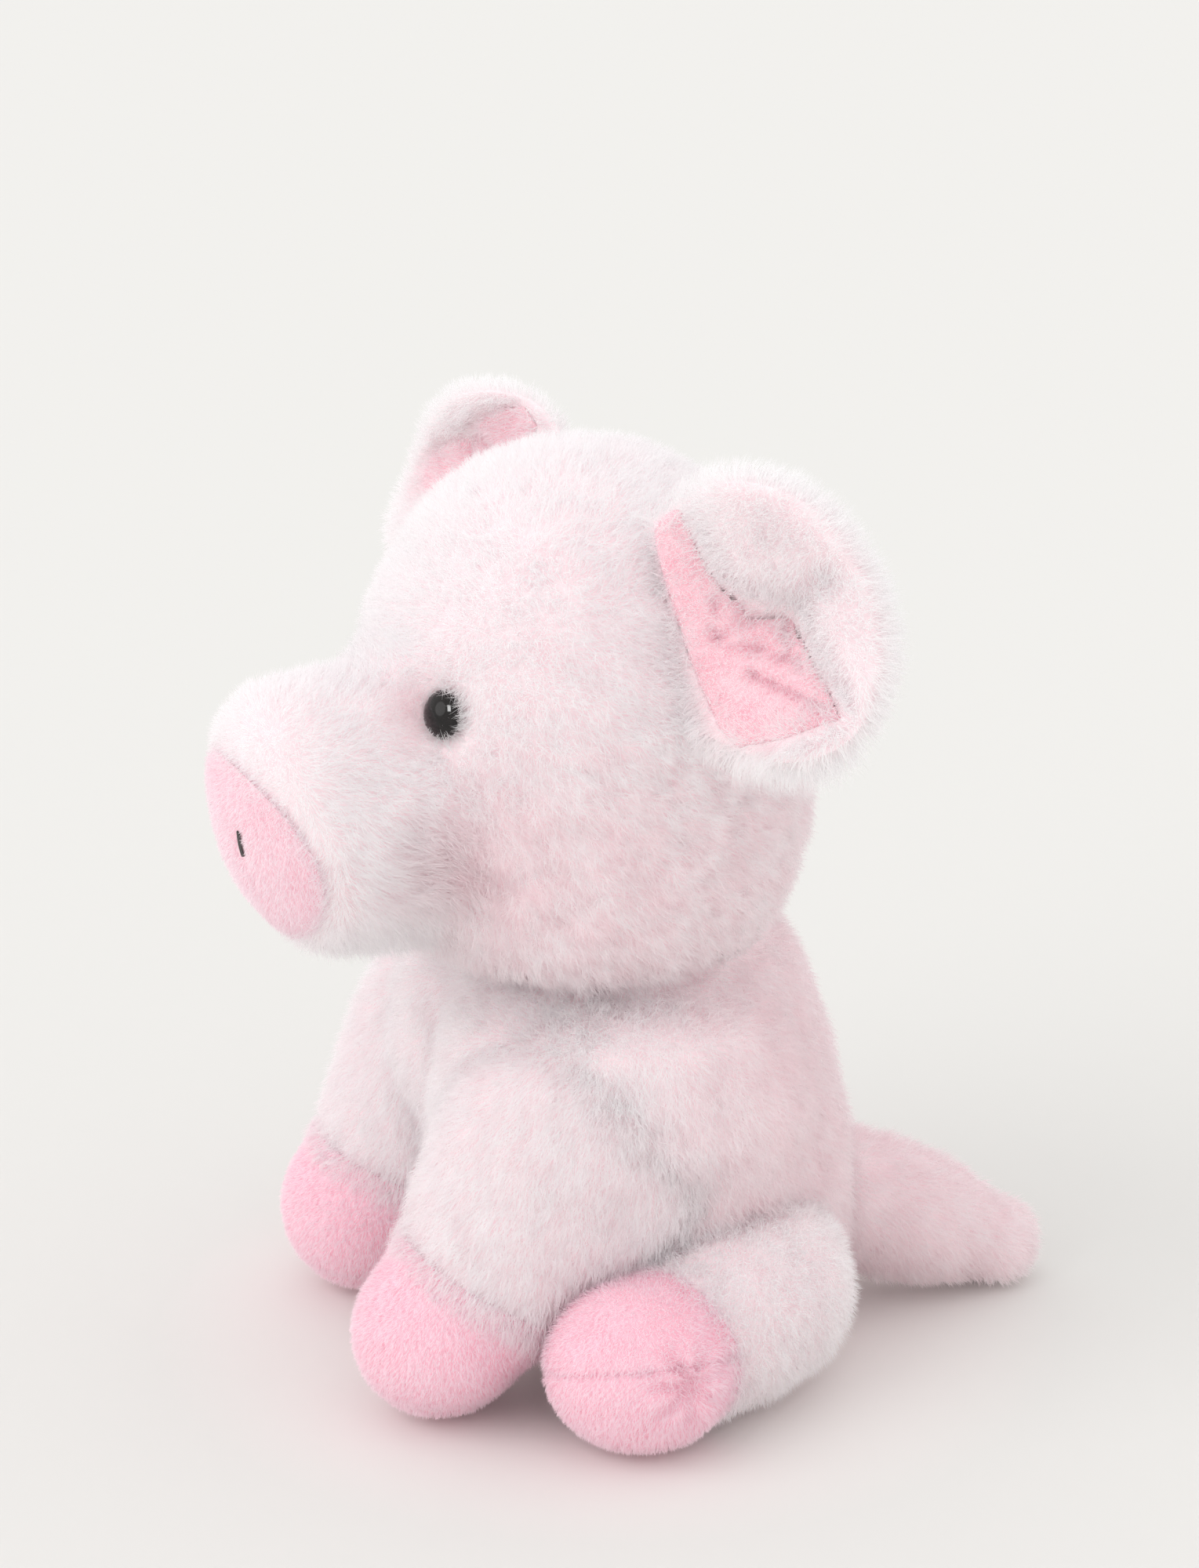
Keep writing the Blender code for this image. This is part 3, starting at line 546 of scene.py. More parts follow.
def pileTree():
    sizes = ("Density", "Length", "Width", "Lean", "Swirl", "Swirl Size", "Ruffle", "Ruffle Size", "Fuzz",
             "Tuft Size", "Tuft Pull", "Floor", "Bend Height", "Mottle", "Mottle Size")
    inputs = {"Skin": "Geometry", "Strands": "Collection", "Material": "Material",
              **{name: "Float" for name in sizes}, "Seed": "Int"}
    tree, graph, given = newTree("pile", inputs, "Pile")

    def stored(name, kind):
        return graph.node("GeometryNodeInputNamedAttribute", {"data_type": kind}, {"Name": name})["Attribute"]

    def chance(low, high, shift, kind="FLOAT"):
        return graph.node("FunctionNodeRandomValue", {"data_type": kind}, {
            "Min": low, "Max": high, "Seed": given["Seed"] + shift})[0]

    def clouds(place, size, detail):
        return graph.node("ShaderNodeTexNoise", {"noise_dimensions": "3D"}, {
            "Vector": place, "Scale": 1.0 / size, "Detail": detail})

    def drift(size, shift):
        place = graph.node("GeometryNodeInputPosition")[0] + (shift, 2 * shift, 3 * shift)
        return clouds(place, size, 1.0)["Color"] - (0.5, 0.5, 0.5)

    scattered = graph.node("GeometryNodeDistributePointsOnFaces", {"distribute_method": "RANDOM"}, {
        "Mesh": given["Skin"], "Density": given["Density"] * stored("thickness", "FLOAT"),
        "Seed": given["Seed"]})
    # what the strands lean on is kept on the points before they are placed
    kept = graph.node("GeometryNodeStoreNamedAttribute", {"data_type": "FLOAT_VECTOR", "domain": "POINT"}, {
        "Geometry": scattered["Points"], "Name": "away", "Value": scattered["Normal"]})
    away = stored("away", "FLOAT_VECTOR")
    root = graph.node("GeometryNodeInputPosition")[0]
    comb = stored("comb", "FLOAT_VECTOR")
    flatComb = comb - away * away.dot(comb)
    length = given["Length"] * stored("reach", "FLOAT") * chance(0.78, 1.05, 1)
    loose = chance((-1.0, -1.0, -1.0), (1.0, 1.0, 1.0), 2, "FLOAT_VECTOR")
    way = (away + flatComb * given["Lean"] + drift(given["Swirl Size"], 3.1) * given["Swirl"]
           + drift(given["Ruffle Size"], 7.7) * given["Ruffle"] + loose * given["Fuzz"]).unit()
    cell = graph.node("ShaderNodeTexVoronoi", {"voronoi_dimensions": "3D"}, {
        "Vector": root, "Scale": 1.0 / given["Tuft Size"]})["Position"]
    pull = cell - root
    flatPull = pull - away * away.dot(pull)
    tip = way * length + flatPull * given["Tuft Pull"]
    # strands that start low stay above the floor: they dip less, bend less and grow shorter
    split = graph.node("ShaderNodeSeparateXYZ", {}, {0: tip})
    rootHeight = graph.node("ShaderNodeSeparateXYZ", {}, {0: root})["Z"]
    lowest = (given["Floor"] - rootHeight) * 0.5  # half the way down, as the blades bend too
    held = graph.node("ShaderNodeMath", {"operation": "MAXIMUM"}, {0: split["Z"], 1: lowest})[0]
    freely = tip.length()
    tip = graph.node("ShaderNodeCombineXYZ", {}, {"X": split["X"], "Y": split["Y"], "Z": held})[0]
    length = length * tip.length() / freely
    bending = length * graph.node("ShaderNodeClamp", {}, {
        "Value": rootHeight / given["Bend Height"], "Min": 0.1, "Max": 1.0})[0]
    stood = graph.node("FunctionNodeAlignRotationToVector", {"axis": "Z"}, {"Vector": tip})[0]
    bendWay = flatComb + chance((-0.8, -0.8, -0.8), (0.8, 0.8, 0.8), 4, "FLOAT_VECTOR")
    turned = graph.node("FunctionNodeAlignRotationToVector", {"axis": "X", "pivot_axis": "Z"}, {
        "Rotation": stood, "Vector": bendWay})[0]
    width = given["Width"] * chance(0.75, 1.25, 5)
    scale = graph.node("ShaderNodeCombineXYZ", {}, {"X": bending, "Y": width, "Z": length})[0]
    shapes = graph.node("GeometryNodeCollectionInfo", {}, {
        "Collection": given["Strands"], "Separate Children": True, "Reset Children": True})
    mottle = clouds(root, given["Mottle Size"], 2.0)[0]
    # the pink, painted shade included, and the mottle pick each strand's kind
    step = (stored("blush", "FLOAT") + (mottle - 0.5) * given["Mottle"]) * strandKinds + chance(-1.6, 1.6, 6)
    pick = graph.node("FunctionNodeFloatToInt", {"rounding_mode": "FLOOR"}, {0: step})[0]
    pick = graph.node("ShaderNodeClamp", {}, {"Value": pick, "Min": 0.0, "Max": strandKinds - 1.0})[0]
    placed = graph.node("GeometryNodeInstanceOnPoints", {}, {
        "Points": kept["Geometry"], "Instance": shapes[0], "Pick Instance": True, "Instance Index": pick,
        "Rotation": turned, "Scale": scale})
    finishTree(graph, placed[0], given["Material"], "Pile")
    return tree


longPile = {
    "Density": 4.1e6, "Length": 0.0050, "Width": 0.00016, "Lean": 0.28, "Swirl": 1.3, "Swirl Size": 0.011,
    "Ruffle": 1.2, "Ruffle Size": 0.0036, "Fuzz": 0.40, "Tuft Size": 0.0028, "Tuft Pull": 0.42,
    "Floor": 0.0004, "Bend Height": 0.012, "Mottle": 1.1, "Mottle Size": 0.0040, "Seed": 11,
}
shortPile = {
    "Density": 5.0e6, "Length": 0.0020, "Width": 0.00016, "Lean": 0.30, "Swirl": 0.9, "Swirl Size": 0.010,
    "Ruffle": 0.6, "Ruffle Size": 0.0026, "Fuzz": 0.28, "Tuft Size": 0.0018, "Tuft Pull": 0.35,
    "Floor": 0.0003, "Bend Height": 0.012, "Mottle": 0.7, "Mottle Size": 0.0050, "Seed": 47,
}
pileDepth = {"long": 0.0022, "short": 0.0012}  # how far under the finished outline each pile is rooted
usualBlush = 0.20
strandShelf = strandShapes()
pile = pileTree()
pileMarks = ("away", "comb", "reach", "thickness", "blush")
fineness = 1.0


def grown(name, skin, material, look, thickness=None, **changes):
    # a pile on a copy of the skin, as one plain mesh
    bed = copied(skin, name)
    if thickness is not None:
        mark(bed, "thickness", thickness)
    chosen = {**look, **changes, "Strands": strandShelf, "Material": material}
    chosen["Density"] = chosen["Density"] * fineness
    treeModifier(bed, pile, chosen)
    for attribute in [a.name for a in bed.data.attributes if a.name in pileMarks]:
        bed.data.attributes.remove(bed.data.attributes[attribute])
    return bed


def ruffled(skin, amount=0.0008, size=0.0080):
    # a shallow unevenness, as stuffed cloth under a dense pile has
    spots, facing = points(skin), facings(skin)
    heights = np.array([noise.noise(Vector(spot) / size) for spot in spots])
    return movePoints(skin, spots + facing * (heights * amount)[:, None])


def dressed(piece, body, material=None, replaces=()):
    if material:
        piece.data.materials.clear()
        piece.data.materials.append(material)
    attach(piece, body)
    if replaces:
        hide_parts(*replaces)
    return piece


def ready(skin, comb, reach=None, thickness=None, blush=None):
    # what every pile reads from its skin
    count = len(skin.data.vertices)
    mark(skin, "comb", comb if getattr(comb, "ndim", 0) else np.tile(np.array(comb, float), (count, 1)))
    mark(skin, "reach", np.ones(count) if reach is None else reach)
    mark(skin, "thickness", np.ones(count) if thickness is None else thickness)
    # the pink that picks each strand's kind, with the painted shade that some regions add to it
    mark(skin, "blush", np.full(count, usualBlush) if blush is None else blush)
    return skin


# Limb forms, made on the left; the right ones are mirrored

armSizes = {
    "pivot": Vector((0.0330, -0.0290, 0.0630)), "liftDegrees": 45.0, "soleHeight": 0.0075,
    "overhang": 0.0035, "seamDepth": 0.0006, "stuffingWidth": 0.80, "longerBy": 0.10, "longerBehind": 0.35,
    "left": {
        "shoulder": Vector((0.0330, -0.0235, 0.0595)), "hoof": Vector((0.0332, -0.0575, 0.0205)),
        "shoulderBulge": 0.0225, "shoulderRadius": 0.0362, "hoofRadius": 0.0203, "wristAbove": 0.0155,
        "seamWay": Vector((0.0, -0.545, -0.84)), "shave": 0.0040,
    },
    "right": {
        "shoulder": Vector((0.0330, -0.0290, 0.0630)), "hoof": Vector((0.0370, -0.0580, 0.0200)),
        "shoulderBulge": 0.0255, "shoulderRadius": 0.0322, "hoofRadius": 0.0208, "wristAbove": 0.0130,
        "seamWay": Vector((0.0, -0.40, -0.92)), "shave": 0.0010,
    },
}
legSizes = {
    "hip": Vector((0.0355, 0.0120, 0.0240)), "foot": Vector((0.0590, -0.0170, 0.0200)), "spreadDegrees": 18.0,
    "hipRadius": 0.0245, "footRadius": 0.0205, "ankleBefore": 0.0085, "anklePinch": 0.0014,
    "soleTiltDegrees": 20.0, "seamDepth": 0.0006, "footWide": 1.13, "footAhead": 0.0008, "blush": 0.14,
    "pucker": Vector((0.0780, -0.0120, 0.0215)), "puckerReach": 0.0090, "puckerFolds": 7,
    "puckerDepth": 0.0023,
}
standing = {"long": 0.003, "short": 0.0012}  # the lowest that a skin under each pile may come
hiding = {"inset": 0.002, "depth": 0.004}  # a skin this far inside another one grows no pile


def limbForm(name, root, tip, rootSizes, tipSize, pinch=None, across=outward, fullness=1.0, sides=48, rows=22,
             capRows=12):
    along = (tip - root).normalized()
    side = (across - along * across.dot(along)).normalized()
    rise = along.cross(side)
    rootSide, rootRise = rootSizes
    length = (tip - root).length
    rings = [[root - along * rootRise]]
    for row in range(1, capRows):
        turn = math.pi / 2 * row / capRows
        closing = math.sin(turn)
        rings.append(ringAt(root - along * (rootRise * math.cos(turn)), side, rise, rootSide * closing,
                            rootRise * closing, sides))
    for row in range(rows + 1):
        share = row / rows
        narrowing = eased(share**fullness)
        drawn = 0.0
        if pinch:
            depth, beforeTip = pinch
            drawn = depth * math.exp(-(((1 - share) * length - beforeTip) / beforeTip) ** 2)
        halfSide = rootSide + (tipSize - rootSide) * narrowing - drawn
        halfRise = rootRise + (tipSize - rootRise) * narrowing - drawn
        rings.append(ringAt(root + along * (share * length), side, rise, halfSide, halfRise, sides))
    for row in range(1, capRows):
        turn = math.pi / 2 * row / capRows
        closing = tipSize * math.cos(turn)
        rings.append(ringAt(tip + along * (tipSize * math.sin(turn)), side, rise, closing, closing, sides))
    rings.append([tip + along * tipSize])
    return loftPiece(name, rings)


def armForm(name, inset, word):
    own = armSizes[word]
    sizes = (own["shoulderBulge"] - inset, own["shoulderRadius"] - inset)
    arm = limbForm(name, own["shoulder"], own["hoof"], sizes, own["hoofRadius"] - inset)
    # the hoof rounds up from the floor on its outer side
    places = points(arm)
    outer = np.clip((places[:, 0] - own["hoof"].x) / own["hoofRadius"], 0, 1)
    low = np.clip(1.0 - places[:, 2] / own["hoof"].z, 0, 1)
    places[:, 2] += own["shave"] * outer**1.5 * low
    return movePoints(arm, places)


def legForm(name, inset, word=None):
    sizes = (legSizes["hipRadius"] - inset, legSizes["hipRadius"] - inset)
    across = up.cross(legSizes["foot"] - legSizes["hip"])
    leg = limbForm(name, legSizes["hip"], legSizes["foot"], sizes, legSizes["footRadius"] - inset,
                   (legSizes["anklePinch"], legSizes["ankleBefore"]), across)
    # the foot is wider than it is tall
    places = points(leg)
    far = np.linalg.norm(places - np.array(legSizes["foot"]), axis=1) / legSizes["footRadius"]
    share = eased((1.9 - far) / 0.8)
    wider = (places[:, 1] - legSizes["foot"].y) * (legSizes["footWide"] - 1.0) - legSizes["footAhead"]
    places[:, 1] += wider * share
    return movePoints(leg, places)


def sideOf(point, side):
    return Vector((point.x * side, point.y, point.z))


def limbSpin(side, which, way):
    # how the torso moves as a limb sees it at its joint's end, or with -1, the limb as the torso sees it
    point, axis, degrees = {
        "arm": (armSizes["pivot"], "X", armSizes["liftDegrees"]),
        "leg": (legSizes["hip"], "Z", -legSizes["spreadDegrees"] * side),
    }[which]
    return spunAbout(sideOf(point, side), axis, way * degrees)


# Torso

torsoSizes = {
    "halfWidth": 0.0465, "halfDepth": 0.0470, "neckHeight": 0.0987, "lean": 0.0080, "widths": (
        (0.00, 0.60), (0.05, 0.79), (0.14, 0.93), (0.30, 1.00), (0.48, 1.00), (0.66, 0.965), (0.82, 0.91),
        (0.94, 0.845), (1.02, 0.76)),
}
filletSizes = {
    "inset": 0.004, "reach": 0.022, "amount": 0.0120, "bellyShare": 0.3, "bellyTop": 0.048,
    "bellyFade": 0.022, "top": 0.097, "topFade": 0.012,
}
# painted shade: the torso's fur is painted pinker towards its back, which faces away from the key light
torsoPaintedShade = {"front": 0.14, "more": 0.46, "from": 0.03, "over": 0.05}


def torsoForm(name, inset, sides=72, rows=44):
    rings = []
    for row in range(rows + 1):
        share = torsoSizes["widths"][-1][0] * (row / rows) ** 1.15
        height = max(share * torsoSizes["neckHeight"], inset)
        if rings and height <= rings[-1][0].z:
            continue
        width = curveThrough(torsoSizes["widths"], share)
        centre = Vector((0, -torsoSizes["lean"] * share**2, height))
        halfWidth = torsoSizes["halfWidth"] * width - inset
        halfDepth = torsoSizes["halfDepth"] * width - inset
        rings.append(ringAt(centre, outward, backward, halfWidth, halfDepth, sides))
    return loftPiece(name, rings)


def insideTorso(places, inset, *spins):
    # true where a point stays well inside the torso, at rest and at each of the spins
    torso = torsoForm("space", inset, 48, 24)
    inner = alwaysInside(places, torso, [Matrix.Identity(4), *spins], hiding["depth"])
    bpy.data.objects.remove(torso)
    return inner


def swelled(piece, limb):
    # fills the corner between the piece and a limb that rests on it, mostly by the shoulder
    tree = surfaceOf(limb)
    places, facing = points(piece), facings(piece)
    share = np.zeros(len(places))
    for k, place in enumerate(places):
        spot, out, _, distance = tree.find_nearest(Vector(place))
        share[k] = 1.0 if (Vector(place) - spot).dot(out) < 0 else 1.0 - distance / filletSizes["reach"]
    belly, heights = filletSizes["bellyShare"], places[:, 2]
    aboveBelly = eased((heights - filletSizes["bellyTop"]) / filletSizes["bellyFade"])
    belowTop = eased((filletSizes["top"] - heights) / filletSizes["topFade"])
    share = eased(share) * (belly + (1.0 - belly) * aboveBelly) * belowTop
    return movePoints(piece, places + facing * (filletSizes["amount"] * share)[:, None])


def limbSpace(form, inset, side, word):
    limb = form("space", inset, word)
    return moved(limb, mirrorX) if side < 0 else limb


def makeTorso():
    skin = torsoForm("torsoSkin", pileDepth["long"], 120, 90)
    for side, word in leftAndRight:
        arm = limbSpace(armForm, filletSizes["inset"], side, word)
        swelled(skin, arm)
        bpy.data.objects.remove(arm)
    ruffled(skin)
    places, facing = points(skin), facings(skin)
    underneath = (facing[:, 2] < -0.6) & (places[:, 2] < 0.007)
    hidden = (places[:, 2] > torsoSizes["neckHeight"] + 0.001) | underneath
    for side, word in leftAndRight:
        for which, form in (("arm", armForm), ("leg", legForm)):
            limb = limbSpace(form, hiding["inset"], side, word)
            spins = [Matrix.Identity(4), limbSpin(side, which, 1)]
            hidden |= alwaysInside(places, limb, spins, hiding["depth"])
            bpy.data.objects.remove(limb)
    toTail = np.linalg.norm(places - np.array(tailSizes["root"]), axis=1)
    hidden |= toTail < tailSizes["rootRadius"] - hiding["depth"]
    # painted shade: the fur is painted pinker from the front to the back
    blush = torsoPaintedShade["front"] + torsoPaintedShade["more"] * eased(
        (places[:, 1] + torsoPaintedShade["from"]) / torsoPaintedShade["over"])
    ready(skin, (0.0, 0.15, -1.0), None, 1.0 - hidden, blush)
    for name, share in (("torsoFurFront", places[:, 1] < 0.0), ("torsoFurBack", places[:, 1] >= 0.0)):
        fur = grown(name, skin, longFur, longPile, share * (1.0 - hidden))
        dressed(fur, "torso")
    dressed(skin, "torso", furBacking, ("body_fur",))


# Arms and legs

def seamGroove(piece, point, normal, depth, spread=0.0010):
    places, facing = points(piece), facings(piece)
    away = (places - np.array(point)) @ np.array(normal)
    return movePoints(piece, places - facing * (depth * np.exp(-((away / spread) ** 2)))[:, None])


def puckered(piece, spot, reach, folds, depth):
    # gathers the cloth into a small tuft with folds running out from it
    places, facing = points(piece), facings(piece)
    away = places - np.array(spot)
    gap = np.linalg.norm(away, axis=1) / reach
    turn = np.arctan2(away[:, 2], away[:, 1])
    rays = np.sin(folds * turn) * np.exp(-((gap - 0.7) * 2.0) ** 2)
    sunk = depth * np.exp(-(gap * 2.2) ** 2) + 0.32 * depth * rays
    return movePoints(piece, places - facing * sunk[:, None])


def flatFooted(piece, height):
    places = points(piece)
    places[:, 2] = np.maximum(places[:, 2], height)
    return movePoints(piece, places)


def furSleeve(sleeve, word, limb, body, seed):
    fur = grown(f"{word}{limb}Fur", sleeve, longFur, longPile, Seed=seed)
    dressed(fur, body)
    dressed(sleeve, body, furBacking, (f"{limb.lower()}_{word}_fur",))


def pinkEnd(piece, body, node, seed, comb, reach=None, blush=None):
    # a short pile on all of the piece but what rests on the floor
    spots, facing = points(piece), facings(piece)
    covered = (facing[:, 2] < -0.7) & (spots[:, 2] < 0.0030)
    ready(piece, comb, reach, 1.0 - covered, blush)
    nap = grown(piece.name + "Pile", piece, pinkPile, shortPile, Seed=seed)
    dressed(nap, body)
    dressed(piece, body, pinkBacking, (node,))


def makeArm(side, word, body):
    own = armSizes[word]
    turn = mirrorX if side < 0 else Matrix.Identity(4)
    along = (own["hoof"] - own["shoulder"]).normalized()
    seamWay = own["seamWay"].normalized()
    seam = own["hoof"] - seamWay * own["wristAbove"]
    skin = flatFooted(armForm(f"{word}ArmSkin", pileDepth["long"], word), standing["long"])
    sleeve = ruffled(moved(trimmed(skin, seam + seamWay * armSizes["overhang"], -seamWay), turn))
    places = points(sleeve)
    mirroredAlong = turn.to_3x3() @ along
    inner = insideTorso(places, 0.004, limbSpin(side, "arm", -1))
    # the pile falls over the seam and hides it, and hangs lowest behind the wrist
    drop = (places - np.array(sideOf(seam, side))) @ np.array(turn.to_3x3() @ seamWay)
    nearSeam = eased(1.0 + drop / 0.010)
    behind = np.clip((places[:, 1] - own["hoof"].y) / own["hoofRadius"], -0.4, 1.0)
    reach = 1.0 + nearSeam * (armSizes["longerBy"] + armSizes["longerBehind"] * behind)
    ready(sleeve, tuple(mirroredAlong + Vector((0, 0, -0.4))), reach, 1.0 - inner)
    furSleeve(sleeve, word, "Arm", body, 21 + side)
    end = flatFooted(armForm(f"{word}HoofWhole", pileDepth["short"], word), standing["short"])
    soleEdge = up * armSizes["soleHeight"]
    end = moved(trimmed(seamGroove(end, soleEdge, up, armSizes["seamDepth"]), seam, seamWay), turn)
    sole = trimmed(copied(end, f"{word}HoofSole"), soleEdge, -up)
    hoof = trimmed(end, soleEdge, up)
    hoof.name = f"{word}Hoof"
    for piece, node, seed in ((hoof, "hoof", 61), (sole, "sole", 71)):
        pinkEnd(piece, body, f"arm_{word}_{node}", seed + side, (0.1 * side, -0.3, -1.0))


def makeLeg(side, word, body):
    turn = mirrorX if side < 0 else Matrix.Identity(4)
    along = (legSizes["foot"] - legSizes["hip"]).normalized()
    seam = legSizes["foot"] - along * legSizes["ankleBefore"]
    skin = flatFooted(legForm(f"{word}LegSkin", pileDepth["long"]), standing["long"])
    sleeve = ruffled(moved(trimmed(skin, seam + along * 0.002, -along), turn))
    places = points(sleeve)
    mirroredAlong = turn.to_3x3() @ along
    inner = insideTorso(places, 0.004, limbSpin(side, "leg", -1))
    comb = tuple(mirroredAlong * 0.7 + Vector((0, 0, -0.5)))
    ready(sleeve, comb, None, 1.0 - inner, np.full(len(places), legSizes["blush"]))
    furSleeve(sleeve, word, "Leg", body, 31 + side)
    # the sole faces down and a little outwards
    tilt = math.radians(legSizes["soleTiltDegrees"])
    soleWay = Vector((-math.sin(tilt), 0.0, math.cos(tilt)))
    whole = flatFooted(legForm(f"{word}FootWhole", pileDepth["short"]), standing["short"])
    end = remeshed(whole, 0.0011, 2)
    seamGroove(end, legSizes["foot"], soleWay, legSizes["seamDepth"])
    puckered(end, legSizes["pucker"], legSizes["puckerReach"], legSizes["puckerFolds"],
             legSizes["puckerDepth"])
    end = moved(trimmed(end, seam, along), turn)
    soleWay = turn.to_3x3() @ soleWay
    middle = sideOf(legSizes["foot"], side)
    sole = trimmed(copied(end, f"{word}FootSole"), middle, -soleWay)
    foot = trimmed(end, middle, soleWay)
    foot.name = f"{word}Foot"
    gathered = np.array(sideOf(legSizes["pucker"], side))
    for piece, node, seed in ((foot, "foot", 81), (sole, "sole", 91)):
        spots = points(piece)
        fromTuft = (spots - gathered) / legSizes["puckerReach"]
        close = near(spots, gathered, legSizes["puckerReach"])
        comb = np.array((0.3 * side, -0.2, -1.0)) * (1 - close[:, None]) + fromTuft * 2.0 * close[:, None]
        pinkEnd(piece, body, f"leg_{word}_{node}", seed + side, comb, 1.0 + 0.3 * close,
                usualBlush + 0.35 * close**2)


# Tail

tailSizes = {
    "root": Vector((0, 0.0460, 0.0265)), "tip": Vector((0, 0.0830, 0.0097)), "rootRadius": 0.0165,
    "tipRadius": 0.0102, "tipRound": 0.0012, "fullness": 2.0, "blush": 0.62,
}


def makeTail():
    rootSize = tailSizes["rootRadius"] - pileDepth["long"]
    tipSize = tailSizes["tipRadius"] - pileDepth["long"] + tailSizes["tipRound"]
    skin = limbForm("tailSkin", tailSizes["root"], tailSizes["tip"], (rootSize, rootSize), tipSize,
                    fullness=tailSizes["fullness"])
    ruffled(flatFooted(skin, standing["long"]))
    along = (tailSizes["tip"] - tailSizes["root"]).normalized()
    places = points(skin)
    hidden = places[:, 1] < tailSizes["root"].y - 0.006
    # painted shade: the tail, behind the toy and away from the key light, is painted pinker all over
    blush = np.full(len(places), tailSizes["blush"])
    ready(skin, tuple(along + Vector((0, 0, -0.35))), None, 1.0 - hidden, blush)
    dressed(grown("tailFur", skin, longFur, longPile, Seed=41), "tail")
    dressed(skin, "tail", furBacking, ("tail_fur",))


# Head, built facing -Y and turned at the end

headSizes = {
    "turnDegrees": 12.0, "neckForward": 0.0140, "halfWidth": 0.0525, "halfDepth": 0.0505,
    "faceForward": 0.0020, "halfHeight": 0.0600, "centreHeight": 0.1530, "lowerPower": 3.2, "upperPower": 2.1,
    "voxel": 0.0017, "smoothing": 6, "foldSmoothing": 60,
}
muzzleSizes = {
    "reach": 0.0898, "halfWidth": 0.0285, "halfHeight": 0.0340, "drop": 0.0145, "snoutHalfWidth": 0.0245,
    "snoutHalfHeight": 0.0300, "snoutDrop": 0.0135, "snoutRound": 0.0190, "slantDegrees": 9.0,
    "draw": ((0.00, 0.00), (0.45, 0.10), (0.75, 0.45), (1.00, 0.80)),
    "padFrom": Vector((0.0, -0.0640, -0.0180)), "padAngle": 62.0, "padTall": 0.84, "padWide": 0.98,
    "padDip": 12.0, "padRadius": 0.022, "padTuck": 0.16,
}
eyeSizes = {
    "spread": 0.0195, "rise": 0.0120, "radius": 0.0055, "dome": 0.0042, "sunk": 0.0030, "turnDegrees": 4.0,
    "tiltDegrees": 10.0, "socketDepth": 0.0020, "socketReach": 0.0065,
}
faceSpots = {  # places on the left of the face, from the head's centre
    "fold": (0.033, -0.044, -0.026), "lobe": (0.027, -0.060, -0.024), "tuft": (0.027, -0.058, -0.022),
    "foldHigh": (0.030, -0.053, -0.015), "foldLow": (0.030, -0.053, -0.028), "temple": (0.036, -0.016, 0.026),
    "chin": (0.0, -0.058, -0.048),
}
faceShape = {"foldPress": 0.0003, "lobeFill": 0.0014, "spotReach": 0.010, "bridgeFill": 0.0024}
# painted light and shade on the face: the brow is painted whiter, and the cheeks, the muzzle's fold and the
# recess beside each eye pinker; the temple is pinker too
facePinkAndPaintedShade = {"brow": -0.15, "more": 0.62, "nearEye": 1.1, "farEye": 0.3, "fold": 0.65, "temple": 0.40}
facePile = {"padShorter": 0.40, "eyeShorter": 0.45, "lashLonger": 0.25, "tuftLonger": 0.9, "chinLonger": 0.6}
headCentre = Vector((0, -headSizes["neckForward"], headSizes["centreHeight"]))
headTurn = spunAbout(Vector((0, headCentre.y, 0)), "Z", headSizes["turnDegrees"])


def eggForm(name, inset, sides=72, rows=48):
    top, bottom = headSizes["halfHeight"] - inset, -(headSizes["halfHeight"] - inset)
    rings = [[headCentre + up * bottom]]
    for row in range(1, rows):
        turn = math.pi * (row / rows - 0.5)
        power = headSizes["lowerPower"] if turn < 0 else headSizes["upperPower"]
        height = math.copysign(abs(math.sin(turn)) ** (2 / power), turn)
        width = math.cos(turn) ** (2 / power)
        centre = headCentre + up * (height * top) - backward * headSizes["faceForward"]
        rings.append(ringAt(centre, outward, backward, width * (headSizes["halfWidth"] - inset),
                            width * (headSizes["halfDepth"] - inset), sides))
    rings.append([headCentre + up * top])
    return loftPiece(name, rings)


def drawnSize(head, snout, drawn):
    return muzzleSizes[head] + (muzzleSizes[snout] - muzzleSizes[head]) * drawn


def muzzleForm(name, inset, sides=64):
    shaft = muzzleSizes["reach"] - muzzleSizes["snoutRound"]
    slope = math.tan(math.radians(muzzleSizes["slantDegrees"]))
    stations = [(shaft * k / 20, curveThrough(muzzleSizes["draw"], k / 20), 1.0) for k in range(21)]
    for k in range(1, 12):
        share = k / 12
        turn = share * math.pi / 2
        ahead = (muzzleSizes["snoutRound"] - inset) * math.sin(turn)
        stations.append((shaft + ahead, 0.8 + 0.2 * share, math.cos(turn)))
    rings = []
    for forward, drawn, closing in stations:
        halfWidth = drawnSize("halfWidth", "snoutHalfWidth", drawn) - inset
        halfHeight = drawnSize("halfHeight", "snoutHalfHeight", drawn) - inset
        drop = drawnSize("drop", "snoutDrop", drawn)
        centre = headCentre - backward * forward - up * drop
        leaning = up - backward * (slope * min(forward / shaft, 1.0))
        rings.append(ringAt(centre, outward, leaning, halfWidth * closing, halfHeight * closing, sides))
    rings.append([headCentre - backward * (muzzleSizes["reach"] - inset) - up * muzzleSizes["snoutDrop"]])
    return loftPiece(name, rings)


def padRing(share, turn):
    # the way from inside the snout to a share of the pad's size, at a turn about the pad's middle
    angle = share * math.radians(muzzleSizes["padAngle"])
    dip = math.radians(muzzleSizes["padDip"])
    across, rise = math.cos(turn) * muzzleSizes["padWide"], math.sin(turn) * muzzleSizes["padTall"]
    size = math.hypot(across, rise)
    wide = angle * size
    side, tall, ahead = across / size * math.sin(wide), rise / size * math.sin(wide), math.cos(wide)
    return Vector((
        side, -ahead * math.cos(dip) + tall * -math.sin(dip), tall * math.cos(dip) - ahead * math.sin(dip)))


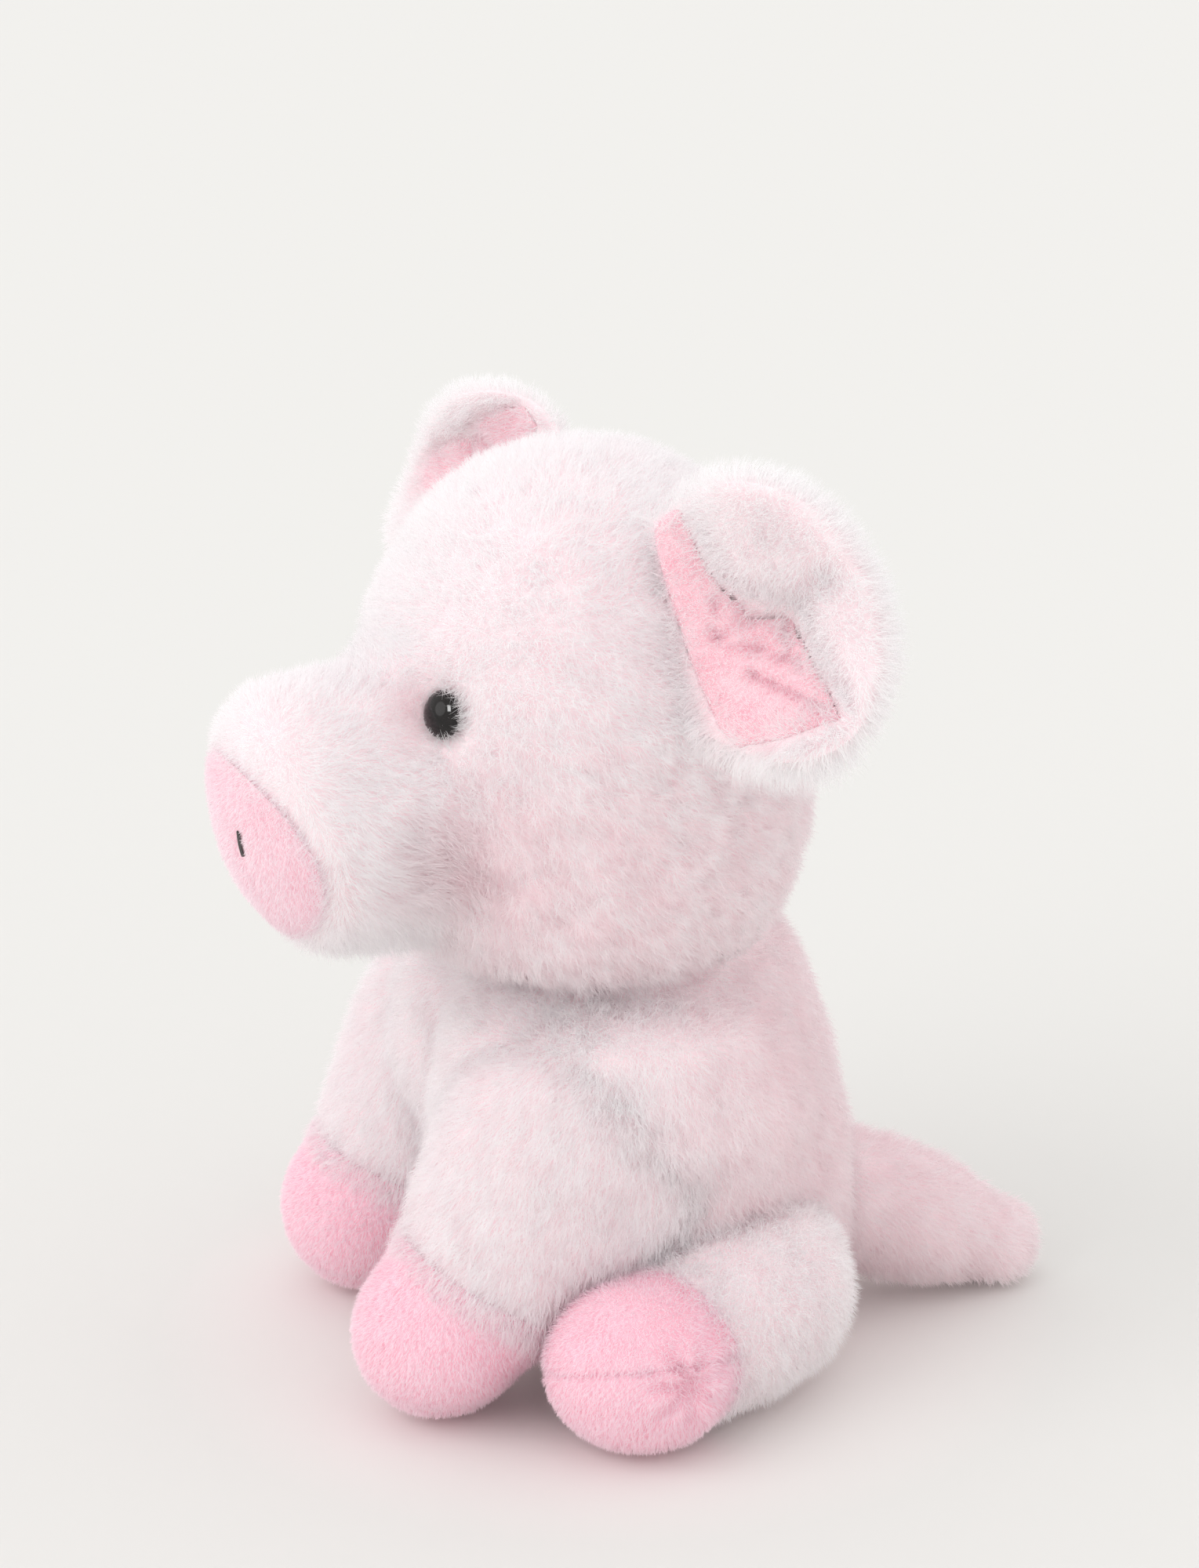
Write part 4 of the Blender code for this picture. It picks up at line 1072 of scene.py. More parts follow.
def padReach(places):
    # how far from the middle of the nose pad each point lies, as a share of the pad's size
    dip = math.radians(muzzleSizes["padDip"])
    away = places - np.array(headCentre + muzzleSizes["padFrom"])
    away /= np.linalg.norm(away, axis=1)[:, None]
    ahead = -away[:, 1] * math.cos(dip) - away[:, 2] * math.sin(dip)
    tall = away[:, 2] * math.cos(dip) - away[:, 1] * math.sin(dip)
    wide = np.arccos(np.clip(ahead, -1, 1))
    flat = np.maximum(np.hypot(away[:, 0], tall), 1e-9)
    size = np.hypot(away[:, 0] / muzzleSizes["padWide"], tall / muzzleSizes["padTall"]) / flat
    return wide * size / math.radians(muzzleSizes["padAngle"])


def meetSurface(piece, start, direction):
    graph = bpy.context.evaluated_depsgraph_get()
    hit, place, normal, _ = piece.evaluated_get(graph).ray_cast(start, direction)
    return (place, normal) if hit else (None, None)


def eyeSeat(side):
    depth = headSizes["halfDepth"]
    width = headSizes["halfWidth"]
    rise = math.asin((eyeSizes["rise"] / headSizes["halfHeight"]) ** (headSizes["upperPower"] / 2))
    shrink = math.cos(rise) ** (2 / headSizes["upperPower"])
    x = eyeSizes["spread"]
    y = -depth * shrink * math.sqrt(max(1 - (x / (width * shrink)) ** 2, 0.0)) - headSizes["faceForward"]
    turn, tilt = math.radians(eyeSizes["turnDegrees"]), math.radians(eyeSizes["tiltDegrees"])
    look = Vector((side * math.sin(turn) * math.cos(tilt), -math.cos(turn) * math.cos(tilt), math.sin(tilt)))
    return headCentre + Vector((side * x, y, eyeSizes["rise"])) - look * eyeSizes["sunk"], look


def makeEye(side, word):
    seat, look = eyeSeat(side)
    along = look.orthogonal().normalized()
    across = look.cross(along)
    radius, dome = eyeSizes["radius"], eyeSizes["dome"]
    rings = [[seat - look * 0.004]]
    rings.append(ringAt(seat - look * 0.004, along, across, radius * 0.5, radius * 0.5, 64))
    rings.append(ringAt(seat - look * 0.0006, along, across, radius * 0.92, radius * 0.92, 64))
    for row in range(0, 16):
        turn = math.pi / 2 * row / 16
        rings.append(ringAt(seat + look * (dome * math.sin(turn)), along, across, radius * math.cos(turn),
                            radius * math.cos(turn), 64))
    rings.append([seat + look * dome])
    eye = moved(loftPiece(f"{word}Eye", rings), headTurn)
    dressed(eye, "head", eyeGloss, (f"eye_{word}",))


# the cheeks and the nape are more clumped than the rest
curlyPile = {"Ruffle": 2.6, "Tuft Size": 0.0034, "Tuft Pull": 0.72, "Mottle": 2.2, "Mottle Size": 0.0032}


def headRegion(local):
    # 0 the brow, 1 the crown, 2 the lower back, 3 the muzzle, 4 the cheeks
    face = np.where(local[:, 1] < -0.050, 3, np.where(local[:, 2] > 0.012, 0, 4))
    return np.where(local[:, 1] < -0.018, face, np.where(local[:, 2] > 0.012, 1, 2))


def nostrilSpot(pad, side, matrix):
    # where the nostril's middle lies on the pad, and which way the pad faces there
    spread = nostrilSizes["spread"]["left" if side > 0 else "right"]
    start = headCentre + Vector((side * spread, -0.2, -nostrilSizes["drop"]))
    return meetSurface(pad, matrix @ start, matrix.to_3x3() @ backward)


def faceSpot(name, side=1.0):
    x, y, z = faceSpots[name]
    return headCentre + Vector((x * side, y, z))


def makeHead():
    inset = pileDepth["long"]
    skin = joined("headSkin", [eggForm("egg", inset), muzzleForm("muzzle", inset)])
    remeshed(skin, headSizes["voxel"], headSizes["smoothing"])
    local = points(skin) - np.array(headCentre)
    # the fold where the muzzle leaves the head is evened out
    crease = eased(1.6 - np.abs(local[:, 1] + 0.046) / 0.014)
    relaxed(skin, crease, headSizes["foldSmoothing"])
    places, facing = points(skin), facings(skin)
    eyes = [np.array(eyeSeat(side)[0]) for side in (1, -1)]
    for seat in eyes:
        side = math.copysign(1.0, seat[0])
        places -= facing * (eyeSizes["socketDepth"] * near(places, seat, eyeSizes["socketReach"]))[:, None]
        fold = near(places, faceSpot("fold", side), faceShape["spotReach"])
        places -= facing * (faceShape["foldPress"] * fold)[:, None]
        lobe = near(places, faceSpot("lobe", side), faceShape["spotReach"])
        places += facing * (faceShape["lobeFill"] * lobe)[:, None]
    # the bridge's far side hides the eye behind it
    bridge = near(places, eyes[1] + np.array((0.004, -0.004, 0.003)), 0.0060)
    places += facing * (faceShape["bridgeFill"] * bridge)[:, None]
    movePoints(skin, places)
    ruffled(skin)
    local = places - np.array(headCentre)
    hidden = insideTorso(places, hiding["inset"])
    beyond = (padReach(places) - 1.0) * muzzleSizes["padRadius"]
    onSnout = eased((-local[:, 1] - 0.055) / 0.012)
    hidden |= (beyond < -0.0012) & (local[:, 1] < -0.050)
    forward = (eased(1.0 - beyond / 0.007) * onSnout)[:, None]
    reach = 1.0 - facePile["padShorter"] * np.exp(-(beyond / 0.0045) ** 2) * onSnout
    # painted light and shade: the brow and the muzzle's top are painted whitest, where the light falls, and
    # the cheeks pinkest, in shade
    cheeks = eased((0.028 - local[:, 2]) / 0.044)
    blush = facePinkAndPaintedShade["brow"] + facePinkAndPaintedShade["more"] * cheeks * eased((local[:, 1] + 0.055) / 0.020)
    back = np.clip((local[:, 1] - 0.01) / 0.03, 0, 1)[:, None]
    comb = np.array((0.0, 0.8, -0.5)) * (1 - back) + np.array((0.0, 0.25, -1.0)) * back
    for seat in eyes:
        hidden |= np.linalg.norm(places - seat, axis=1) < eyeSizes["radius"] - 0.0006
        # the pile is short on the nose side of each eye, and that recess is painted pinker as painted shade
        side = math.copysign(1.0, seat[0])
        shorter = near(places, seat + (-0.002 * side, -0.006, 0.001), 0.0065)
        reach *= 1.0 - facePile["eyeShorter"] * shorter * (side > 0)
        pinker = facePinkAndPaintedShade["nearEye"] if side > 0 else facePinkAndPaintedShade["farEye"]
        blush += pinker * near(places, seat + (-0.001 * side, -0.006, 0.002), 0.009)
        # strands from the cheek side lie over the eye's edge
        away = places - seat
        gap = np.maximum(np.linalg.norm(away, axis=1), 1e-6)
        cheekSide = np.clip((away @ np.array((0.62 * side, 0.30, -0.72))) / gap + 0.15, 0, 1)
        lash = (np.exp(-((gap - 0.0066) / 0.0014) ** 2) * cheekSide)[:, None]
        comb = comb * (1 - lash) - away / gap[:, None] * 2.6 * lash
        reach += facePile["lashLonger"] * lash[:, 0]
        # the muzzle's side tucks under the cheek, the fold is painted pinker as painted shade, and long tufts
        # lie over it
        for name in ("foldHigh", "foldLow"):
            blush += facePinkAndPaintedShade["fold"] * near(places, faceSpot(name, side), 0.012)
        # the temple is pinker too
        blush += facePinkAndPaintedShade["temple"] * near(places, faceSpot("temple", side), 0.014)
        tuft = near(places, faceSpot("tuft", side), 0.012)[:, None]
        comb = comb * (1 - tuft) + np.array((0.5 * side, 1.9, 0.1)) * tuft
        reach += facePile["tuftLonger"] * tuft[:, 0]
    chin = near(places, faceSpot("chin"), 0.016)[:, None]
    comb = comb * (1 - chin) + np.array((0.0, 0.6, -1.6)) * chin
    reach += facePile["chinLonger"] * chin[:, 0]
    comb = comb * (1 - forward) + np.array((0.0, -1.2, -0.6)) * forward
    moved(skin, headTurn)
    comb = comb @ np.array(headTurn.to_3x3()).T
    ready(skin, comb, reach, 1.0 - hidden, blush)
    region = headRegion(local)
    for k, name in enumerate(("browFur", "crownFur", "napeFur", "muzzleFur", "cheekFur")):
        curls = curlyPile if name in ("napeFur", "cheekFur") else {}
        fur = grown(name, skin, longFur, longPile, (region == k) * (1.0 - hidden), Seed=101 + k, **curls)
        dressed(fur, "head")
    dressed(skin, "head", furBacking, ("head_fur",))

    # the pad is a round of cloth laid over the snout's front
    snout = muzzleForm("snout", pileDepth["short"])
    bpy.context.view_layer.update()
    start = headCentre + muzzleSizes["padFrom"]
    rings = [[meetSurface(snout, start, padRing(1.0 - row / 30, 2 * math.pi * k / 96))[0] for k in range(96)]
             for row in range(30)]
    rings.append([meetSurface(snout, start, padRing(1e-6, 0.0))[0]])
    bpy.data.objects.remove(snout)
    tucked = [spot + (start - spot) * muzzleSizes["padTuck"] for spot in rings[0]]
    pad = loftPiece("nosePad", [tucked] + rings)
    subdivided = pad.modifiers.new("finer", "SUBSURF")
    subdivided.subdivision_type, subdivided.levels = "SIMPLE", 1
    settled(pad)
    bpy.context.view_layer.update()
    spots = points(pad)
    share = padReach(spots)
    bare = (share > 1.02) | (np.linalg.norm(spots - np.array(start), axis=1) < 0.012)
    reach = np.ones(len(spots))
    # the pile parts over each nostril
    for side in (1, -1):
        middle = np.array(nostrilSpot(pad, side, Matrix.Identity(4))[0])
        pastEnd = np.maximum(np.abs(spots[:, 2] - middle[2]) - nostrilSizes["length"] / 2, 0)
        beside = np.hypot(spots[:, 0] - middle[0], pastEnd)
        bare |= beside < 0.0009
        reach *= 1.0 - 0.6 * np.exp(-(beside / 0.0019) ** 2)
    ready(pad, (0.0, 0.5, -0.6), reach, 1.0 - bare, 0.12 + 0.25 * eased((share - 0.55) / 0.45))
    moved(pad, headTurn)
    dressed(grown("nosePadPile", pad, nosePile, shortPile, Seed=121), "head")
    dressed(pad, "head", noseBacking, ("nose_pad",))


# Nostrils: satin stitches side by side over a short upright slit

nostrilSizes = {
    "spread": {"left": 0.0066, "right": 0.0102}, "drop": 0.0150, "length": 0.0060, "threads": 5,
    "slitWidth": 0.0010, "threadRadius": 0.00017, "proud": 0.0003, "bulge": 0.0002,
}


def stitchTree():
    tree, graph, given = newTree("satinStitch", {
        "Guide": "Geometry", "Threads": "Int", "Spread": "Float", "Radius": "Float", "Material": "Material",
    }, "Stitches")
    row = graph.node("GeometryNodeMeshLine", {"mode": "OFFSET"}, {"Count": given["Threads"]})
    index = graph.node("GeometryNodeInputIndex")[0]
    step = given["Spread"] / given["Threads"]
    shift = graph.node("ShaderNodeCombineXYZ", {}, {
        "X": (index - (given["Threads"] - 1) * 0.5) * step, "Y": 0.0, "Z": 0.0})[0]
    spaced = graph.node("GeometryNodeSetPosition", {}, {"Geometry": row[0], "Position": shift})
    profile = graph.node("GeometryNodeCurvePrimitiveCircle", {"mode": "RADIUS"}, {
        "Resolution": 6, "Radius": given["Radius"]})
    guide = graph.node("GeometryNodeMeshToCurve", {}, {"Mesh": given["Guide"]})
    tube = graph.node("GeometryNodeCurveToMesh", {}, {
        "Curve": guide[0], "Profile Curve": profile[0], "Fill Caps": True})
    size = graph.node("FunctionNodeRandomValue", {"data_type": "FLOAT"}, {
        "Min": 0.86, "Max": 1.06, "Seed": 5})[0]
    placed = graph.node("GeometryNodeInstanceOnPoints", {}, {
        "Points": spaced[0], "Instance": tube[0], "Scale": size})
    finishTree(graph, placed[0], given["Material"], "Stitches")
    return tree


def makeNostril(side, word, tree):
    pad = bpy.data.objects["nosePad"]
    bpy.context.view_layer.update()
    place, facing = nostrilSpot(pad, side, headTurn)
    half = nostrilSizes["length"] / 2
    # the guide bulges out a little in the middle, along its own Y
    rows = 9
    spine = [Vector((0, -nostrilSizes["bulge"] * math.cos(math.pi * (k / (rows - 1) - 0.5)),
                     half * (2 * k / (rows - 1) - 1))) for k in range(rows)]
    mesh = bpy.data.meshes.new(f"{word}Nostril")
    mesh.from_pydata(spine, [(k, k + 1) for k in range(rows - 1)], [])
    stitch = newPiece(f"{word}Nostril", mesh)
    treeModifier(stitch, tree, {
        "Threads": nostrilSizes["threads"], "Spread": nostrilSizes["slitWidth"],
        "Radius": nostrilSizes["threadRadius"], "Material": noseThread})
    across = up.cross(facing).normalized()
    stance = Matrix((across, -facing, facing.cross(across))).transposed().to_4x4()
    stitch.data.transform(Matrix.Translation(place + facing * nostrilSizes["proud"]) @ stance)
    stitch.data.shade_smooth()
    dressed(stitch, "head", None, (f"nostril_{word}",))


# Ears

# how wide the leaf is, as a share, from its root to its rim
earWidths = ((0.00, 0.78), (0.20, 0.92), (0.42, 1.00), (0.64, 0.98), (0.82, 0.86), (0.93, 0.67), (1.00, 0.42))
earSizes = {
    "out": 0.0410, "up": 0.0280, "back": 0.0050, "tangentDegrees": 33.0, "thickness": 0.0080,
    "left": {
        "tiltDegrees": 22.0, "width": 0.0620, "length": 0.0449, "sweepDegrees": 49.0, "cup": 0.0171,
        "tipCurl": 0.0132, "droop": 0.0063, "shift": 0.0023, "ahead": 0.0057, "puff": 0.0078,
        "lining": (  # in millimetres, across the ear and out from the head
            (26.0, 1.5), (24.0, 5.5), (15.0, 8.0), (7.5, 11.0), (3.0, 16.0), (0.0, 26.0), (-8.0, 29.5),
            (-20.5, 35.5), (-25.0, 22.0), (-27.0, 10.0), (-23.0, 6.0), (-14.0, 3.0), (-5.5, 1.0), (4.5, -0.5),
            (13.5, -1.5), (19.5, -2.0), (23.0, 0.0)),
        "creases": (((3.0, 9.0), (-3.5, 24.0)), ((-4.0, 8.0), (-9.5, 26.0)), ((-12.0, 15.0), (-19.0, 31.0))),
        "dimple": ((2.0, 28.5), (10.0, 38.0)), "fringe": 1.30, "hem": 1.5, "wisps": 0.35,
    },
    "right": {
        "tiltDegrees": 33.0, "width": 0.0620, "length": 0.0360, "sweepDegrees": -6.0, "cup": 0.0077,
        "tipCurl": 0.0007, "droop": 0.0340, "shift": 0.0080, "ahead": 0.0, "puff": 0.0028,
        "lining": (
            (25.5, 8.0), (23.0, 14.5), (18.0, 19.0), (14.0, 19.5), (12.0, 22.0), (11.0, 28.0), (7.0, 32.0),
            (1.0, 33.5), (-6.0, 31.5), (-14.0, 24.0), (-18.0, 14.0), (-18.0, 2.0), (12.0, 2.0), (21.0, 3.5)),
        "creases": (((15.0, 20.5), (5.0, 11.0)), ((14.0, 21.0), (2.0, 19.0))),
        "dimple": ((14.0, 20.0), (22.0, 26.0)), "fringe": 0.75, "hem": 0.9, "wisps": -0.10,
    },
}


clothSizes = {
    "snap": 0.00045, "edge": 0.0012, "back": 0.0022, "fullness": 1.35, "above": 0.0002, "creaseWidth": 0.0013,
    "creaseDepth": 0.0023, "thickness": 0.0008, "blush": 0.15, "creaseBlush": 0.85,
}
earBlush = {"leaf": -0.02, "byCloth": 0.35, "reach": 0.0025}


def earFrame(word, egg):
    own = earSizes[word]
    tilt, tangent, sweep = (math.radians(a) for a in (
        own["tiltDegrees"], earSizes["tangentDegrees"], own["sweepDegrees"]))
    along = Vector((-math.sin(tilt), 0, math.cos(tilt)))
    level = Vector((math.cos(tilt), 0, math.sin(tilt)))
    out = level * math.cos(sweep) + backward * math.sin(sweep)
    front = level * math.sin(sweep) - backward * math.cos(sweep)
    toward = (outward * earSizes["out"] + up * earSizes["up"]).normalized()
    place = meetSurface(egg, headCentre + backward * earSizes["back"], toward)[0] - toward * 0.0012
    place += Vector((-math.sin(tangent), 0, math.cos(tangent))) * own["shift"] - backward * own["ahead"]

    def at(across, distance, height):
        outShare = max(distance, 0.0) / own["length"]
        acrossShare = 2 * across / own["width"]
        cupped = own["cup"] * acrossShare**2 * min(2 * outShare, 1.0) + own["tipCurl"] * outShare**2
        hanging = own["droop"] * outShare**1.5
        return place + along * (across - hanging) + out * distance + front * (cupped + height)
    return at, along, out, front


def earPly(name, word, inset, sides=120, rows=56):
    # a leaf with a rounded edge, with each point's place across it and out from the head
    own = earSizes[word]
    half = earSizes["thickness"] / 2 - inset
    length = own["length"] + earSizes["thickness"] / 2 - inset - half
    stations = [(-half, 0.0, 1.0)]
    for k in range(1, 5):
        turn = math.pi / 2 * k / 5
        stations.append((-half * math.cos(turn), half * math.sin(turn), 1.0))
    stations += [(length * k / rows, half, 1.0) for k in range(rows + 1)]
    for k in range(1, 5):
        turn = math.pi / 2 * k / 5
        stations.append((length + half * math.sin(turn), half * math.cos(turn), math.cos(turn)))
    spots, rings = [], []
    for distance, thick, closing in stations:
        share = min(max(distance / length, 0.0), 1.0)
        halfWidth = (own["width"] / 2 * curveThrough(earWidths, share) - inset * 0.6) * closing
        ring = []
        for k in range(sides if thick else 1):
            turn = 2 * math.pi * k / sides
            c, s = math.cos(turn), math.sin(turn)
            across, through = (math.copysign(abs(v) ** (2 / 3), v) for v in (c, s))
            spots.append((across * halfWidth, distance, through * thick))
            ring.append(Vector(spots[-1]))
        rings.append(ring)
    spots.append((0.0, length + half, 0.0))
    rings.append([Vector(spots[-1])])
    return loftPiece(name, rings)


def makeEar(side, word):
    own = earSizes[word]
    egg = eggForm("egg", 0.0, 64, 40)
    bpy.context.view_layer.update()
    at, along, out, front = earFrame(word, egg)
    turn = headTurn @ (mirrorX if side < 0 else Matrix.Identity(4))
    ply = earPly(f"{word}EarSkin", word, pileDepth["long"])
    flat = points(ply)
    corners = tuple((a / 1000, d / 1000) for a, d in own["lining"])
    outside, landing = edgeDistance(flat[:, :2], corners)
    fronting = flat[:, 2] > 0
    # points by the cloth's edge are drawn onto it, so that it is cut clean
    close = fronting & (np.abs(outside) < clothSizes["snap"])
    flat[close, :2] = landing[close]
    outside[close] = 0.0
    # the white fold rises round the cloth, rolls over to the ear's rim and has one deep dimple
    widths = np.array([curveThrough(earWidths, min(max(y / own["length"], 0.0), 1.0)) for y in flat[:, 1]])
    rimGap = np.minimum(own["width"] / 2 * widths - np.abs(flat[:, 0]), own["length"] + 0.002 - flat[:, 1])
    rolled = np.sqrt(np.clip(1.0 - (1.0 - np.clip(rimGap / 0.020, 0, 1)) ** 2, 0, 1))
    puffed = own["puff"] * eased(outside / 0.011) * fronting * rolled * eased(flat[:, 1] / 0.004)
    a, b = (np.array(end) / 1000 for end in own["dimple"])
    puffed *= 1.0 - 0.35 * np.exp(-(lineGap(flat[:, :2], a, b) / 0.0035) ** 2)
    sunk = np.zeros(len(flat))
    for a, b in own["creases"]:
        gap = lineGap(flat[:, :2], np.array(a) / 1000, np.array(b) / 1000)
        sunk = np.maximum(sunk, np.exp(-(gap / clothSizes["creaseWidth"]) ** 2))
    # under the cloth the leaf stands back, so that the cloth's creases stay clear of it
    puffed -= clothSizes["back"] * fronting * eased(-outside / clothSizes["edge"])
    places = np.array([at(x, y, z + p) for (x, y, z), p in zip(flat, puffed)])
    movePoints(ply, places)
    ply.data.flip_normals()
    within = fronting & (outside < 0.0001)
    lifted = clothSizes["back"] * eased(-outside / clothSizes["edge"])
    # the cloth is the front of the leaf within its outline, lifted a little and pressed in along its creases
    cloth = copied(ply, f"{word}EarLining")
    mark(cloth, "sunk", sunk)
    mark(cloth, "lifted", lifted)
    build = bmesh.new()
    build.from_mesh(cloth.data)
    build.verts.ensure_lookup_table()
    outer = [v for v, kept in zip(list(build.verts), within) if not kept]
    bmesh.ops.delete(build, geom=outer, context="VERTS")
    sunkAt, liftedAt = build.verts.layers.float["sunk"], build.verts.layers.float["lifted"]
    for v in build.verts:
        raised = v[liftedAt] * clothSizes["fullness"] + clothSizes["above"]
        v.co += front * (raised - clothSizes["creaseDepth"] * v[sunkAt])
    build.to_mesh(cloth.data)
    build.free()
    creased = np.zeros(len(cloth.data.vertices), np.float32)
    cloth.data.attributes["sunk"].data.foreach_get("value", creased)
    for name in ("sunk", "lifted"):
        cloth.data.attributes.remove(cloth.data.attributes[name])
    middle = np.outer(np.clip(flat[:, 0] / 0.02, -1, 1), np.array(along))
    comb = np.array(out) * 0.8 + middle * 0.9 - np.array((0.0, 0.0, 0.3))
    parting = flat[:, :2] - landing
    parting /= np.maximum(np.linalg.norm(parting, axis=1), 1e-9)[:, None]
    parting = np.outer(parting[:, 0], np.array(along)) + np.outer(parting[:, 1], np.array(out))
    edge = (eased(1.0 - outside / 0.007) * fronting)[:, None]
    comb = comb * (1 - edge) + parting * 2.6 * edge
    # long wisps stand round the cloth and along the rim, and hang below the hem
    hem = eased((-flat[:, 0] / own["width"] - 0.34) / 0.10)
    comb[:, 2] -= 1.8 * hem
    reach = 1.0 + (own["fringe"] - 1.0) * edge[:, 0] + own["wisps"] * eased(1.0 - rimGap / 0.006)
    reach += (own["hem"] - 1.0) * hem * eased(flat[:, 1] / 0.010)
    # the end that lies in the head has no pile
    buried = alwaysInside(places, egg, [Matrix.Identity(4)], 0.0015)
    bpy.data.objects.remove(egg)
    hidden = (fronting & (outside < -0.0008)) | ((flat[:, 1] < -0.001) & buried)
    moved(ply, turn)
    moved(cloth, turn)
    body = f"ear_{word}"
    byCloth = np.exp(-(outside / earBlush["reach"]) ** 2)
    blush = earBlush["leaf"] + earBlush["byCloth"] * byCloth * fronting
    ready(ply, comb @ np.array(turn.to_3x3()).T, reach, 1.0 - hidden, blush)
    dressed(grown(f"{word}EarFur", ply, longFur, longPile, Seed=131 + side), body)
    dressed(ply, body, furBacking, (f"ear_{word}_fur",))
    # painted shade: the lining's creases are painted pinker
    blush = clothSizes["blush"] + clothSizes["creaseBlush"] * creased.astype(float)
    ready(cloth, tuple(turn.to_3x3() @ (out * 0.8)), None, None, blush)
    nap = grown(f"{word}EarLiningPile", cloth, liningPile, shortPile, Seed=141 + side, Length=0.0020)
    dressed(nap, body)
    solid = cloth.modifiers.new("cloth", "SOLIDIFY")
    solid.thickness, solid.offset = clothSizes["thickness"], -1.0
    settled(cloth)
    dressed(cloth, body, liningBacking, (f"ear_{word}_lining",))


# The toy, piece by piece

makeTorso()
print("the torso is dressed")
for side, word in leftAndRight:
    makeArm(side, word, f"arm_{word}")
for side, word in leftAndRight:
    makeLeg(side, word, f"leg_{word}")
makeTail()
print("the limbs and tail are dressed")
makeHead()
for side, word in leftAndRight:
    makeEye(side, word)
    makeEar(side, word)
stitches = stitchTree()
for side, word in leftAndRight:
    makeNostril(side, word, stitches)
print("the head is dressed")

# Inside pieces keep their own solids, but for the arms' stuffing
for nodeName, node in frame["nodes"].items():
    inner = (looseFibre if nodeName.endswith("stuffing") else pouchCloth if nodeName == "pellet_pouch"
             else washerPlastic if nodeName.startswith("eye_washer") else None)
    if inner:
        node.data.materials.clear()
        node.data.materials.append(inner)
for side, word in leftAndRight:
    # it is drawn in from the side, so that it stays under the arms' skins
    stuffing = newPiece(f"{word}ArmStuffing", frame["nodes"][f"arm_{word}_stuffing"].data.copy())
    places = points(stuffing)
    middle = side * armSizes["pivot"].x
    places[:, 0] = middle + (places[:, 0] - middle) * armSizes["stuffingWidth"]
    movePoints(stuffing, places)
    dressed(stuffing, f"arm_{word}", looseFibre, (f"arm_{word}_stuffing",))

for shape in list(strandShelf.objects):
    bpy.data.objects.remove(shape)
bpy.data.collections.remove(strandShelf)


# Floor, light and camera

# the floor's second colour is painted pink light reflected from the toy, and its reach is how far from the
# feet it is painted
floorLook = {"colour": (0.768, 0.762, 0.742), "tinted": (0.90, 0.825, 0.815), "tintReach": 0.105, "size": 8.0}
lightLook = {
    "world": 1.03, "colour": (1.0, 0.995, 0.99), "seen": (0.88, 0.87, 0.85),
    "key": 0.74, "keyWidth": 0.9, "keyPlace": Vector((0.45, -1.8, 1.3)),
    "eyeBox": 22.0, "eyeBoxPlace": Vector((0.98, -0.30, 1.25)),
}
cameraLook = {"azimuth": 75.0, "elevation": 21.0, "distance": 1.3, "fieldHeight": 0.3636,
              "target": Vector((-0.0459, 0.0002, 0.1157))}


def makeFloor():
    material, graph = newMaterial("paleFloor", floorLook["colour"])
    # painted light: round the toy's feet the floor is painted pinker and brighter, a painted reflection of
    # the toy's pink
    place = graph.node("ShaderNodeTexCoord")["Object"]
    gap = (place + (0.0, 0.01, 0.0)).length()
    stops = [(0.35, floorLook["tinted"]), (1.0, floorLook["colour"])]
    finishMaterial(graph, {
        "Base Color": ramped(graph, stops, gap / floorLook["tintReach"]), "Roughness": 0.9,
        "Specular IOR Level": 0.1})
    half = floorLook["size"] / 2
    mesh = bpy.data.meshes.new("paleFloor")
    corners = [(-half, -half, 0), (half, -half, 0), (half, half, 0), (-half, half, 0)]
    mesh.from_pydata(corners, [], [(0, 1, 2, 3)])
    mesh.materials.append(material)
    newPiece("paleFloor", mesh)


